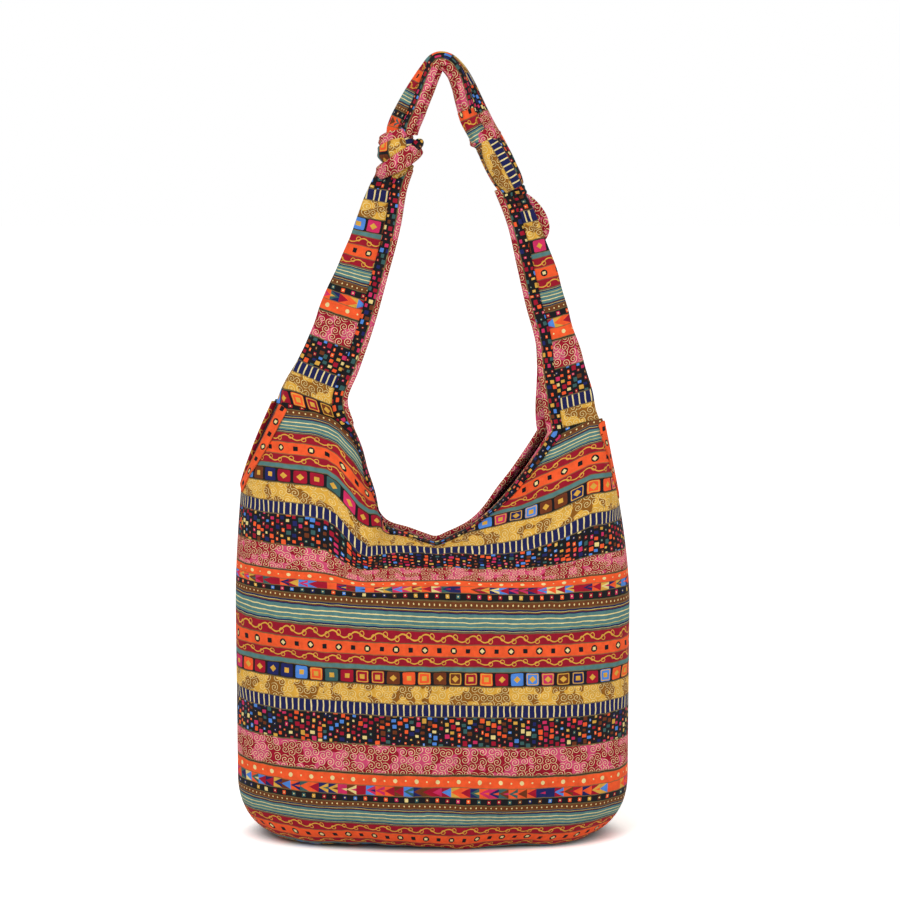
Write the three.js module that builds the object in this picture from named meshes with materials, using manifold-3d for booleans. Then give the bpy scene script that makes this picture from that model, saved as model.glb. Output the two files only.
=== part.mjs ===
// A slouchy shoulder bag sewn from striped printed cotton: two body panels with boxed base corners, a bound
// neckline that runs on up both strap arms, slanted side pockets, and two straps knotted round each other.
// Millimetres, +Z up. The front faces -Y, and the origin is the middle of the base, on the floor.
import * as THREE from 'three';
import Module from 'manifold-3d';

const wasm = await Module();
wasm.setup();
const { Vector3 } = THREE;

// Cloth and seams
const CLOTH = 1.6;
const LINING_CLOTH = 0.8;
const TRIM_CLOTH = 1.0;
const GAP = 0.3;
const SEAM_GAP = 0.6;
const BINDING_WIDTH = 8;
const BAND_WIDTH = 11;

// Body
const BODY_HALF_WIDTH = 190;
const BODY_HALF_DEPTH = 78;
const BASE_HALF_WIDTH = 140;
const BASE_HALF_DEPTH = 48;
const CORNER_HEIGHT = 60;
const PILLOW_POWER = 3;
const NECK_HEIGHT = 291;
const NECK_HALF_GAP = 13;
const NECK_LEAN = 46;
const LEAN_GROWTH = 1.25;
const BACK_SHIFT = -9;

// Pocket mouths: the shoulder's outer end and the mouth's lower tip, each side
const LEFT_TIP = { inset: 6, height: 346 };
const RIGHT_TIP = { inset: 12, height: 338 };
const LEFT_SHOULDER = { outer: -143, outerHeight: 428, inner: -78, innerHeight: 405 };
const RIGHT_SHOULDER = { outer: 162, outerHeight: 412, inner: 113, innerHeight: 398 };
const POUCH_DEPTH = 135;
const POUCH_HALF_LENGTH = 28;
const POUCH_HALF_THICKNESS = 13;

// Straps
const ARM_HALF_DEPTH = 12;
const ARM_TOP_HALF_DEPTH = 9;
const STRAND_RADIUS = 8.2;
const STRAND_CLOSENESS = 0.85;
const STRAND_SHARE = 0.84;
const WRAP_THICKNESS = 6.5;

// Neck edge between the shoulder seams: x, and rise above the lowest point
const NECK_POINTS = [
  [-69, 92], [-64, 72], [-57, 50], [-51, 24], [-43, 15], [-24, 9], [-8, 3], [3, 0], [16, 5],
  [37, 16], [58, 33], [76, 53], [91, 73], [107, 97],
];

// Arm edges above the shoulder seam's ends: x, and rise above that end
const LEFT_OUTER = [[-135, 24], [-120, 56], [-99, 108], [-80, 150], [-58, 204], [-49, 219]];
const LEFT_INNER = [[-84, 24], [-73, 53], [-58, 97], [-46, 140], [-34, 185], [-27, 224], [-21, 242]];
const RIGHT_OUTER = [[157, 14], [146, 50], [128, 105], [108, 166], [92, 200], [82, 218]];
const RIGHT_INNER = [[109, 24], [104, 62], [102, 85], [92, 122], [84, 157], [74, 199], [62, 230]];

// Middle line of the two gathered strands over the top: x, height above the shoulder, width of both together
const ARCH = [
  [-38, 224, 19], [-31, 243, 26], [-28, 258, 28], [-29, 271, 31], [-22, 293, 29], [-16, 312, 26], [-7, 328, 21],
  [4, 336, 18.4], [14, 336, 18.4], [24, 328, 19.5], [31, 315, 22], [36, 301, 25.5], [42, 284, 28], [49, 269, 29],
  [57, 255, 27], [65, 240, 25], [72, 224, 23], [77, 207, 19],
];
const STRAND_BASE = (LEFT_SHOULDER.outerHeight + RIGHT_SHOULDER.innerHeight) / 2;

// The two knots: middle, direction of the strand through them, half sizes, and each wrap's tip and size
const LEFT_KNOT = {
  x: -29, rise: 246, tilt: 8, halfWidth: 23, halfDepth: 20, halfLength: 24,
  wraps: [[-3, 0.86], [9, 1], [2, 0.88]],
};
const RIGHT_KNOT = {
  x: 62, rise: 243, tilt: 29, halfWidth: 18, halfDepth: 18, halfLength: 38,
  wraps: [[4, 0.9], [-9, 1.04], [6, 0.94], [-2, 0.84]],
};
const TAIL = [[78, 214], [90, 210], [101, 199], [107, 185], [106, 172]];
const EAR = [[-14, 256], [-8, 261], [-3, 266]];

const lerp = (a, b, t) => a + (b - a) * t;
const clamp = (t) => Math.min(1, Math.max(0, t));
const smooth = (t) => clamp(t) ** 2 * (3 - 2 * clamp(t));
const range = (count) => Array.from({ length: count + 1 }, (_, i) => i / count);
const curveThrough = (points) => new THREE.CatmullRomCurve3(points, false, 'centripetal');

// Plain mesh helpers. A mesh is { verts: [Vector3], tris: [[a, b, c]] }.

function weldGrid(rows, wrap = false) {
  const verts = [];
  const seen = new Map();
  const index = (p) => {
    const key = [p.x, p.y, p.z].map((v) => Math.round(v * 500)).join(',');
    if (!seen.has(key)) seen.set(key, verts.push(p.clone()) - 1);
    return seen.get(key);
  };
  const ids = rows.map((row) => row.map(index));
  const tris = [];
  const add = (a, b, c) => {
    if (a !== b && b !== c && c !== a) tris.push([a, b, c]);
  };
  const last = wrap ? ids[0].length : ids[0].length - 1;
  for (let r = 0; r < ids.length - 1; r += 1) {
    for (let c = 0; c < last; c += 1) {
      const d = (c + 1) % ids[0].length;
      add(ids[r][c], ids[r][d], ids[r + 1][d]);
      add(ids[r][c], ids[r + 1][d], ids[r + 1][c]);
    }
  }
  return { verts, tris, ids };
}

function flip(mesh) {
  return { ...mesh, tris: mesh.tris.map(([a, b, c]) => [a, c, b]) };
}

function vertexNormals(mesh) {
  const normals = mesh.verts.map(() => new Vector3());
  for (const [a, b, c] of mesh.tris) {
    const ab = mesh.verts[b].clone().sub(mesh.verts[a]);
    const ac = mesh.verts[c].clone().sub(mesh.verts[a]);
    const n = ab.cross(ac);
    [a, b, c].forEach((i) => normals[i].add(n));
  }
  return normals.map((n) => n.normalize());
}

// Gives a sheet its cloth thickness: `out` along its normals and `back` against them, with a closed rim.
function thicken(mesh, out, back, adjust = (p, n) => n) {
  const normals = vertexNormals(mesh).map((n, i) => adjust(mesh.verts[i], n).normalize());
  const count = mesh.verts.length;
  const offset = (distance) => mesh.verts.map((p, i) => p.clone().addScaledVector(normals[i], distance));
  const verts = [...offset(out), ...offset(-back)];
  const tris = [];
  const edges = new Map();
  for (const [a, b, c] of mesh.tris) {
    tris.push([a, b, c], [a + count, c + count, b + count]);
    [[a, b], [b, c], [c, a]].forEach(([s, e]) => edges.set(`${s},${e}`, [s, e]));
  }
  for (const [s, e] of edges.values()) {
    if (!edges.has(`${e},${s}`)) tris.push([e, s, s + count], [e, s + count, e + count]);
  }
  return { verts, tris };
}

// A solid through closed sections, with flat ends, or joined end to end when `loop` is true.
function loft(sections, loop = false) {
  const size = sections[0].length;
  const verts = sections.flat();
  const tris = [];
  const spans = loop ? sections.length : sections.length - 1;
  for (let r = 0; r < spans; r += 1) {
    const next = (r + 1) % sections.length;
    for (let c = 0; c < size; c += 1) {
      const d = (c + 1) % size;
      tris.push([r * size + c, r * size + d, next * size + d], [r * size + c, next * size + d, next * size + c]);
    }
  }
  if (!loop) {
    [[0, true], [sections.length - 1, false]].forEach(([r, first]) => {
      const centre = new Vector3();
      sections[r].forEach((p) => centre.addScaledVector(p, 1 / size));
      const hub = verts.push(centre) - 1;
      for (let c = 0; c < size; c += 1) {
        const d = (c + 1) % size;
        tris.push(first ? [hub, r * size + d, r * size + c] : [hub, r * size + c, r * size + d]);
      }
    });
  }
  const volume = tris.reduce((sum, [a, b, c]) => sum + verts[a].dot(verts[b].clone().cross(verts[c])), 0);
  return volume < 0 ? flip({ verts, tris }) : { verts, tris };
}

function solid(mesh) {
  const vertProperties = new Float32Array(mesh.verts.flatMap((p) => [p.x, p.y, p.z]));
  const triVerts = new Uint32Array(mesh.tris.flat());
  return new wasm.Manifold(new wasm.Mesh({ numProp: 3, vertProperties, triVerts }));
}

const join = (...parts) => parts.reduce((sum, part) => sum.add(part));
const cut = (part, ...tools) => tools.reduce((rest, tool) => rest.subtract(tool), part);
const largest = (part) => part.decompose().sort((a, b) => b.volume() - a.volume())[0];

// Body panels

const leftTip = new Vector3(-(BODY_HALF_WIDTH - LEFT_TIP.inset), 0, LEFT_TIP.height);
const rightTip = new Vector3(BODY_HALF_WIDTH - RIGHT_TIP.inset, 0, RIGHT_TIP.height);
const seamEnds = (s) => [new Vector3(s.outer, 0, s.outerHeight), new Vector3(s.inner, 0, s.innerHeight)];
const [leftOuterEnd, leftInnerEnd] = seamEnds(LEFT_SHOULDER);
const [rightOuterEnd, rightInnerEnd] = seamEnds(RIGHT_SHOULDER);

function topEdge() {
  const neck = curveThrough([
    leftInnerEnd,
    ...NECK_POINTS.map(([x, rise]) => new Vector3(x, 0, NECK_HEIGHT + rise)),
    rightInnerEnd,
  ]);
  const stretches = [
    new THREE.LineCurve3(leftTip, leftOuterEnd),
    new THREE.LineCurve3(leftOuterEnd, leftInnerEnd),
    neck,
    new THREE.LineCurve3(rightInnerEnd, rightOuterEnd),
    new THREE.LineCurve3(rightOuterEnd, rightTip),
  ];
  // Steep stretches count for less, so that the columns of cloth below them fan out evenly.
  const steepShare = 0.35;
  const points = [leftTip.clone()];
  const ends = [0];
  const runs = [0];
  for (const stretch of stretches) {
    for (const t of range(60).slice(1)) {
      const p = stretch.getPoint(t);
      const before = points[points.length - 1];
      runs.push(runs[runs.length - 1] + Math.abs(p.x - before.x) + steepShare * Math.abs(p.z - before.z));
      points.push(p);
    }
    ends.push(runs[runs.length - 1]);
  }
  const total = runs[runs.length - 1];
  const at = (xi) => {
    const run = ((xi + 1) / 2) * total;
    const i = Math.min(points.length - 1, Math.max(1, runs.findIndex((r) => r >= run - 1e-9)));
    return points[i - 1].clone().lerp(points[i], clamp((run - runs[i - 1]) / (runs[i] - runs[i - 1])));
  };
  return { at, corners: ends.map((run) => (2 * run) / total - 1) };
}

const top = topEdge();
const [, XI_LEFT_OUTER, XI_LEFT_INNER, XI_RIGHT_INNER, XI_RIGHT_OUTER] = top.corners;

const pillow = (xi) => (1 - Math.abs(xi) ** PILLOW_POWER) ** (1 / PILLOW_POWER);
const edgeDepth = (xi) => GAP / 2 + NECK_HALF_GAP * (1 - Math.abs(xi) ** 16);

// Soft folds that run down from the neck: start x and height, run, width and height of the ridge
const FOLDS = [
  { x: -50, z: 318, dx: -62, dz: -52, width: 9, height: 3.2 },
  { x: 60, z: 318, dx: 70, dz: -22, width: 9, height: 2.4 },
  { x: 2, z: 280, dx: 60, dz: -36, width: 10, height: 2 },
];

function foldHeight(x, z) {
  return FOLDS.reduce((sum, f) => {
    const length = Math.hypot(f.dx, f.dz);
    const along = ((x - f.x) * f.dx + (z - f.z) * f.dz) / length;
    const across = ((x - f.x) * f.dz - (z - f.z) * f.dx) / length;
    const fade = smooth(along / (0.3 * length)) * smooth((length - along) / (0.6 * length));
    return sum + f.height * fade * Math.exp(-((across / f.width) ** 2));
  }, 0);
}

function spread(from, to, count) {
  return range(count).map((t) => lerp(from, to, t));
}

function sideColumns(from, to, count) {
  const angle = (xi) => Math.acos(Math.abs(xi) ** (PILLOW_POWER / 2));
  const sign = Math.sign(from + to);
  return spread(angle(from), angle(to), count).map((a) => sign * Math.cos(a) ** (2 / PILLOW_POWER));
}

const LEFT_SLIT_COLUMNS = 5;
const SEAM_COLUMNS = 2;
const NECK_COLUMNS = 15;
const RIGHT_SLIT_COLUMNS = 4;
const WALL_ROWS = 4;
const LEAN_ROWS = 7;
const columns = [
  ...sideColumns(-1, XI_LEFT_OUTER, LEFT_SLIT_COLUMNS).slice(0, -1),
  ...spread(XI_LEFT_OUTER, XI_LEFT_INNER, SEAM_COLUMNS).slice(0, -1),
  ...spread(XI_LEFT_INNER, XI_RIGHT_INNER, NECK_COLUMNS).slice(0, -1),
  ...spread(XI_RIGHT_INNER, XI_RIGHT_OUTER, SEAM_COLUMNS).slice(0, -1),
  ...sideColumns(XI_RIGHT_OUTER, 1, RIGHT_SLIT_COLUMNS),
];
const leftSeamColumn = LEFT_SLIT_COLUMNS;
const neckStart = leftSeamColumn + SEAM_COLUMNS;
const neckEnd = neckStart + NECK_COLUMNS;
const rightSeamColumn = neckEnd + SEAM_COLUMNS;

const shiftAt = (side, xi, z) => (side > 0 ? BACK_SHIFT * smooth((z - 300) / 45) * (1 - Math.abs(xi) ** 8) : 0);

// One column of a panel, from the base seam up over the boxed corner and the bulge to the top edge.
function column(side, xi) {
  const floor = CLOTH / 2;
  const depth = pillow(xi);
  const points = [];
  const put = (x, y, z) => points.push(new Vector3(x, side * Math.max(GAP / 2, y), z));
  for (const t of [0, 0.5]) put(xi * BASE_HALF_WIDTH, t * BASE_HALF_DEPTH * depth, floor);
  for (const t of range(4)) {
    const turn = (t * Math.PI) / 2;
    const out = Math.sin(turn);
    put(
      xi * lerp(BASE_HALF_WIDTH, BODY_HALF_WIDTH, out),
      lerp(BASE_HALF_DEPTH, BODY_HALF_DEPTH, out) * depth,
      floor + (CORNER_HEIGHT - floor) * (1 - Math.cos(turn)),
    );
  }
  const end = top.at(xi);
  const lean = NECK_LEAN + LEAN_GROWTH * Math.max(0, end.z - NECK_HEIGHT);
  const start = Math.max(CORNER_HEIGHT + 30, end.z - lean);
  for (const t of range(WALL_ROWS).slice(1, -1)) {
    put(xi * BODY_HALF_WIDTH, BODY_HALF_DEPTH * depth, lerp(CORNER_HEIGHT, start, t));
  }
  const sideways = smooth((Math.abs(xi) - 0.15) / 0.45);
  const shift = shiftAt(side, xi, end.z);
  for (const t of range(LEAN_ROWS)) {
    const tilt = (t * Math.PI) / 2;
    const rise = Math.sin(tilt) ** (2 / lerp(1.5, 2, sideways));
    const x = lerp(xi * BODY_HALF_WIDTH, end.x + shift, rise ** 1.6);
    const z = lerp(start, end.z, rise);
    const fall = Math.max(0, Math.cos(tilt)) ** (2 / lerp(1.5, 1, sideways));
    const y = lerp(edgeDepth(xi), Math.max(edgeDepth(xi), BODY_HALF_DEPTH * depth), fall);
    put(x, y + (xi > -1 && xi < 1 ? foldHeight(x, z) * smooth((1 - rise) / 0.05) : 0), z);
  }
  return points;
}

function panelSheet(side) {
  const grid = columns.map((xi) => column(side, xi));
  const rows = grid[0].map((_, r) => grid.map((points) => points[r]));
  if (side < 0) return weldGrid(rows);
  const mirrored = weldGrid(rows.map((row) => [...row].reverse()));
  return { ...mirrored, ids: mirrored.ids.map((row) => [...row].reverse()) };
}

// At the seams the cloth's edge is square to the seam, so that the neighbours' edges stay apart.
function squareAtSeams(p, n) {
  const adjusted = n.clone();
  if (Math.abs(p.y) < GAP) adjusted.y = 0;
  const seams = [[leftOuterEnd, leftInnerEnd], [rightInnerEnd, rightOuterEnd]];
  for (const [a, b] of seams) {
    const t = (p.x - a.x) / (b.x - a.x);
    if (t > -0.3 && t < 1.01 && Math.abs(p.z - lerp(a.z, b.z, t)) < 0.01) adjusted.z = 0;
  }
  return adjusted;
}

const sheets = { front: panelSheet(-1), back: panelSheet(1) };

// Straps

const armCurve = (end, points) => curveThrough([
  end, ...points.map(([x, rise]) => new Vector3(x, 0, end.z + rise)),
].map((p) => p.clone().add(new Vector3(0, 0, SEAM_GAP))));
const arms = {
  left: { outer: armCurve(leftOuterEnd, LEFT_OUTER), inner: armCurve(leftInnerEnd, LEFT_INNER) },
  right: { outer: armCurve(rightOuterEnd, RIGHT_OUTER), inner: armCurve(rightInnerEnd, RIGHT_INNER) },
};
const ARM_STATIONS = 11;
const ARM_STEPS = 10;

function resample(points, count) {
  const runs = [0];
  for (let i = 1; i < points.length; i += 1) runs.push(runs[i - 1] + points[i].distanceTo(points[i - 1]));
  return range(count).map((t) => {
    const run = t * runs[runs.length - 1];
    const i = Math.max(1, runs.findIndex((r) => r >= run - 1e-9));
    return points[i - 1].clone().lerp(points[i], clamp((run - runs[i - 1]) / (runs[i] - runs[i - 1])));
  });
}

// One section of an arm: from its front inner edge round the outer fold to its back inner edge.
function armSection(arm, t) {
  const outer = arm.outer.getPointAt(t);
  const inner = arm.inner.getPointAt(t);
  const half = lerp(ARM_HALF_DEPTH, ARM_TOP_HALF_DEPTH, smooth(t / 0.6));
  const power = 3 + 6 * (1 - clamp(t / 0.2)) ** 2;
  const points = range(80).map((s) => {
    const angle = s * Math.PI;
    const reach = Math.max(0, Math.sin(angle)) ** (2 / power);
    const across = -Math.sign(Math.cos(angle)) * Math.abs(Math.cos(angle)) ** (2 / power);
    const shared = lerp(1, 1 - reach, smooth(t / 0.25));
    const shift = BACK_SHIFT * smooth((1 - t) / 0.5) * shared * (across + 1) / 2;
    return inner.clone().lerp(outer, reach).add(new Vector3(shift, half * across, 0));
  });
  return resample(points, ARM_STEPS);
}

function armSheet(arm) {
  const mesh = weldGrid(range(ARM_STATIONS).map((t) => armSection(arm, t)));
  const normals = vertexNormals(mesh);
  return normals[mesh.ids[6][2]].y < 0 ? mesh : flip(mesh);
}

const armSheets = { left: armSheet(arms.left), right: armSheet(arms.right) };

function flatAtBase(p, n) {
  const adjusted = n.clone();
  const low = p.z < LEFT_SHOULDER.outerHeight + 1 + SEAM_GAP;
  if (low) adjusted.z = 0;
  return adjusted;
}

// A gathered strand: an oval sweep beside the arch's middle line, on its outer side (1) or its inner side (-1).
// Where the arch is wide the two lie side by side, and at its peak one lies in front of the other.
// Each starts in its own arm and ends inside the other side's knot.
function strand(sign, grow, sides = 10) {
  const path = curveThrough(ARCH.map(([x, rise]) => new Vector3(x, 0, STRAND_BASE + rise)));
  const sections = range(26).map((s) => {
    const t = sign > 0 ? s * STRAND_SHARE : 1 - s * STRAND_SHARE;
    const place = t * (ARCH.length - 1);
    const i = Math.min(ARCH.length - 2, Math.floor(place));
    const width = lerp(ARCH[i][2], ARCH[i + 1][2], place - i);
    const along = path.getTangent(t);
    const across = new Vector3(-along.z, 0, along.x).normalize();
    const sideways = Math.max(0, width / 2 - STRAND_RADIUS);
    const forwards = Math.sqrt(Math.max(0, STRAND_RADIUS ** 2 - sideways ** 2));
    const middle = path.getPoint(t)
      .addScaledVector(across, sign * sideways)
      .add(new Vector3(0, sign * forwards * STRAND_CLOSENESS, 0));
    const size = STRAND_RADIUS + grow;
    return range(sides).slice(1).map((r) => {
      const angle = r * 2 * Math.PI;
      const gather = 1 + 0.05 * Math.cos(3 * angle + sign);
      return middle.clone()
        .addScaledVector(across, size * gather * Math.cos(angle))
        .add(new Vector3(0, size * gather * Math.sin(angle), 0));
    });
  });
  return solid(loft(sections));
}

const makeStrands = (grow) => ({ left: strand(1, grow), right: strand(-1, grow) });

function knotFrame(knot) {
  const tilt = THREE.MathUtils.degToRad(knot.tilt);
  return {
    middle: new Vector3(knot.x, 0, STRAND_BASE + knot.rise),
    along: new Vector3(-Math.sin(tilt), 0, Math.cos(tilt)),
    across: new Vector3(Math.cos(tilt), 0, Math.sin(tilt)),
    depth: new Vector3(0, 1, 0),
  };
}

// One turn of cloth round a knot: a closed band whose plane is tipped by `tip`, at `height` along the knot.
function wrap(knot, height, tip, width, size) {
  const frame = knotFrame(knot);
  const place = (angle, reach, rise) => frame.middle.clone()
    .addScaledVector(frame.across, Math.cos(angle) * (knot.halfWidth * size + reach))
    .addScaledVector(frame.depth, Math.sin(angle) * (knot.halfDepth * size + reach))
    .addScaledVector(frame.along, height + tip * Math.cos(angle) + rise);
  const sections = range(16).slice(1).map((t) => range(6).slice(1).map((s) => {
    const turn = s * 2 * Math.PI;
    const reach = -WRAP_THICKNESS / 2 + (WRAP_THICKNESS / 2) * Math.cos(turn);
    return place(t * 2 * Math.PI, reach, (width / 2) * Math.sin(turn));
  }));
  return solid(loft(sections, true));
}

function knotWraps(knot) {
  const count = knot.wraps.length;
  const width = (2 * knot.halfLength) / count + 5;
  return join(...knot.wraps.map(([tip, size], i) => {
    const height = lerp(-1, 1, i / (count - 1)) * (knot.halfLength - width / 2 + 1);
    return wrap(knot, height, tip, width, size);
  }));
}

function flatTail(points, offset, halfWidth, halfThickness) {
  const path = curveThrough(points.map(([x, rise]) => new Vector3(x, offset, STRAND_BASE + rise)));
  const sections = range(8).map((t) => {
    const p = path.getPointAt(t);
    const along = path.getTangentAt(t);
    const across = new Vector3(-along.z, 0, along.x).normalize();
    const round = Math.sqrt(Math.max(0.08, 1 - clamp((t - 0.55) / 0.45) ** 2));
    return range(10).slice(1).map((s) => p.clone()
      .addScaledVector(across, halfWidth * round * Math.cos(s * 2 * Math.PI))
      .add(new Vector3(0, halfThickness * Math.sin(s * 2 * Math.PI), 0)));
  });
  return solid(loft(sections));
}

function makeStraps() {
  const arm = (name, grow) => solid(thicken(armSheets[name], CLOTH / 2 + grow, CLOTH / 2 + grow, flatAtBase));
  const exact = makeStrands(0);
  const grown = makeStrands(GAP);
  const leftCore = join(arm('left', 0), exact.left);
  const leftGrown = join(arm('left', GAP), grown.left);
  const rightCore = cut(join(arm('right', 0), exact.right), leftGrown);
  const rightGrown = join(arm('right', GAP), grown.right);
  const leftKnot = join(knotWraps(LEFT_KNOT), flatTail(EAR, -6, 5, 3));
  const rightKnot = join(knotWraps(RIGHT_KNOT), flatTail(TAIL, 12, 9, 3.5));
  return {
    left: largest(join(leftCore, cut(rightKnot, rightGrown, rightCore))),
    right: largest(join(rightCore, cut(leftKnot, leftGrown, leftCore))),
  };
}

// Trim: a bar of cloth that wraps a cut edge, then has the edge it covers cut out of it

function nearest(meshes, q) {
  const triangle = new THREE.Triangle();
  const hit = new Vector3();
  let best = { distance: Infinity };
  for (const mesh of meshes) {
    for (const [a, b, c] of mesh.tris) {
      triangle.set(mesh.verts[a], mesh.verts[b], mesh.verts[c]);
      triangle.closestPointToPoint(q, hit);
      const distance = hit.distanceTo(q);
      if (distance < best.distance) best = { distance, p: hit.clone(), n: triangle.getNormal(new Vector3()) };
    }
  }
  return best;
}

function edgeFrames(path) {
  return path.map(({ p, n }, i) => {
    const before = path[Math.max(0, i - 1)].p;
    const after = path[Math.min(path.length - 1, i + 1)].p;
    const along = after.clone().sub(before).normalize();
    return { p, n, beyond: along.clone().cross(n).normalize() };
  });
}

const OUTER_LEG = CLOTH / 2 + GAP + TRIM_CLOTH;
const LINED_LEG = OUTER_LEG + LINING_CLOTH + GAP;

function edgeBar(path, meshes, width, beyondSign, inside) {
  const outside = OUTER_LEG;
  const roll = 2.6;
  const sections = edgeFrames(path).map(({ p, n, beyond }) => {
    const away = beyond.multiplyScalar(beyondSign);
    const under = (distance) => nearest(meshes, p.clone().addScaledVector(away, -distance));
    const [mid, far] = [under(width / 2), under(width)];
    const off = (base, normal, height) => base.clone().addScaledVector(normal, height);
    return [
      off(far.p, far.n, outside), off(mid.p, mid.n, outside), off(p, n, outside),
      off(p, n, outside * 0.4).addScaledVector(away, roll),
      off(p, n, -inside * 0.55).addScaledVector(away, roll),
      off(p, n, -inside), off(mid.p, mid.n, -inside), off(far.p, far.n, -inside),
    ];
  });
  return solid(loft(sections));
}

// The cloth that a trim leaves room for: panel or arm, with the lining behind it, and a little past the edge.
function edgeCutter(mesh, edgeIds, beyondSign, back, adjust) {
  const normals = vertexNormals(mesh);
  const frames = edgeFrames(edgeIds.map((id) => ({ p: mesh.verts[id], n: normals[id] })));
  const moved = new Map(frames.map((f, i) => [edgeIds[i], f.p.clone().addScaledVector(f.beyond, beyondSign * 2 * GAP)]));
  const verts = mesh.verts.map((p, i) => moved.get(i) ?? p);
  return solid(thicken({ verts, tris: mesh.tris }, CLOTH / 2 + GAP, back, adjust));
}

const LINED_BACK = CLOTH / 2 + GAP + LINING_CLOTH + 2 * GAP;

function armEdge(name, front) {
  const mesh = armSheets[name];
  const normals = vertexNormals(mesh);
  const stop = ARM_STATIONS - 1;
  return mesh.ids.slice(0, stop + 1).map((row) => {
    const id = front ? row[0] : row[row.length - 1];
    return { id, p: mesh.verts[id], n: normals[id] };
  });
}

function sheetEdge(mesh, from, to) {
  const normals = vertexNormals(mesh);
  return mesh.ids[mesh.ids.length - 1].slice(from, to + 1).map((id) => ({ id, p: mesh.verts[id], n: normals[id] }));
}

function makeBinding(side, neighbours) {
  const front = side < 0;
  const sheet = front ? sheets.front : sheets.back;
  const left = armEdge('left', front);
  const right = armEdge('right', front);
  const neck = sheetEdge(sheet, neckStart, neckEnd);
  const path = [...left.slice(1).reverse(), ...neck, ...right.slice(1)];
  const meshes = [sheet, armSheets.left, armSheets.right];
  const away = front ? -1 : 1;
  const bar = edgeBar(path, meshes, BINDING_WIDTH, away, LINED_LEG);
  const topIds = sheetEdge(sheet, leftSeamColumn, rightSeamColumn).map((v) => v.id);
  return largest(cut(
    bar,
    edgeCutter(sheet, topIds, away, LINED_BACK, squareAtSeams),
    edgeCutter(armSheets.left, left.map((v) => v.id), -away, CLOTH / 2 + GAP, flatAtBase),
    edgeCutter(armSheets.right, right.map((v) => v.id), away, CLOTH / 2 + GAP, flatAtBase),
    ...neighbours,
  ));
}

function makeBand(leftSide, neighbours) {
  const last = columns.length - 1;
  const [from, to] = leftSide ? [0, leftSeamColumn] : [rightSeamColumn, last];
  const bars = [];
  const cutters = [];
  for (const side of [-1, 1]) {
    const sheet = side < 0 ? sheets.front : sheets.back;
    const edge = sheetEdge(sheet, from, to);
    const away = side < 0 ? -1 : 1;
    bars.push(edgeBar(edge, [sheet], BAND_WIDTH, away, OUTER_LEG));
    cutters.push(edgeCutter(sheet, edge.map((v) => v.id), away, CLOTH / 2 + GAP, squareAtSeams));
  }
  return largest(cut(join(...bars), ...cutters, ...neighbours));
}

// The lining follows both panels between the pocket mouths, and closes on itself in front of each pouch.
function makeLining() {
  const inset = CLOTH / 2 + GAP + LINING_CLOTH / 2;
  const from = leftSeamColumn + 1;
  const to = rightSeamColumn - 1;
  const face = (sheet) => {
    const normals = vertexNormals(sheet);
    const rows = sheet.ids.filter((_, r) => r !== 1 && (r < 7 || r > 5 + WALL_ROWS));
    return rows.map((row) => row.slice(from, to + 1).map((id) => {
      const p = sheet.verts[id].clone().addScaledVector(normals[id], -inset);
      if (Math.abs(sheet.verts[id].y) < GAP) p.y = 0;
      return p;
    }));
  };
  const front = face(sheets.front);
  const back = face(sheets.back);
  const wall = (a, b, sign) => range(4).slice(1, -1).map((t) => {
    const low = smooth((230 - a.z) / 60) * smooth((a.z - 8) / 40);
    const bulge = sign * (6 + 30 * low) * smooth(Math.abs(a.y - b.y) / 40) * (1 - (2 * t - 1) ** 2);
    return a.clone().lerp(b, t).add(new Vector3(bulge, 0, 0));
  });
  const rows = front.map((row, r) => {
    const other = back[r];
    return [
      ...row,
      ...wall(row[row.length - 1], other[row.length - 1], 1),
      ...[...other].reverse(),
      ...wall(other[0], row[0], -1),
    ];
  });
  return solid(thicken(weldGrid(rows, true), LINING_CLOTH / 2, LINING_CLOTH / 2));
}

// A pocket bag: its mouth follows the slanted opening, and it hangs flat against the bag's side.
function makePouch(leftSide) {
  const tip = leftSide ? leftTip : rightTip;
  const end = leftSide ? leftOuterEnd : rightOuterEnd;
  const xiEnd = leftSide ? XI_LEFT_OUTER : XI_RIGHT_OUTER;
  const sign = leftSide ? -1 : 1;
  const wallInset = OUTER_LEG + LINING_CLOTH / 2;
  const mouth = range(16).slice(1).map((s) => {
    const angle = s * 2 * Math.PI;
    const t = 0.54 - 0.38 * Math.cos(angle);
    const xi = lerp(sign, xiEnd, t);
    const half = Math.max(0.8, edgeDepth(xi) - wallInset);
    const p = tip.clone().lerp(end, t);
    const shift = (BACK_SHIFT * (1 - Math.abs(xi) ** 8) * (Math.sin(angle) + 1)) / 2;
    return new Vector3(p.x - sign * 1.5 + shift, half * Math.sin(angle), p.z - 1);
  });
  const middle = lerp(tip.x, end.x, 0.5) - sign * 8;
  const rings = [mouth];
  const bottom = tip.z - POUCH_DEPTH;
  for (const t of [0.25, 0.5, 0.72, 0.88, 0.97]) {
    const full = Math.sqrt(1 - Math.max(0, (t - 0.5) / 0.5) ** 2);
    const grown = smooth(t / 0.5);
    rings.push(range(16).slice(1).map((s, i) => {
      const angle = s * 2 * Math.PI;
      const goal = new Vector3(
        middle + sign * POUCH_HALF_THICKNESS * full * Math.cos(angle),
        POUCH_HALF_LENGTH * full * Math.sin(angle),
        lerp(tip.z, bottom, t),
      );
      return new Vector3(
        lerp(mouth[i].x, goal.x, grown),
        lerp(mouth[i].y, goal.y, grown),
        lerp(mouth[i].z - t * 60, goal.z, grown),
      );
    }));
  }
  rings.push(range(16).slice(1).map(() => new Vector3(middle, 0, bottom)));
  const sheet = weldGrid(rings, true);
  return solid(thicken(sheet, LINING_CLOTH / 2, LINING_CLOTH / 2));
}

const finishes = {
  print: { color: 0xb8663c, roughness: 0.82 },
  trim: { color: 0xb94a4f, roughness: 0.84 },
  band: { color: 0xe2683a, roughness: 0.82 },
  inner: { color: 0x2b2a33, roughness: 0.88 },
};

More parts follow.
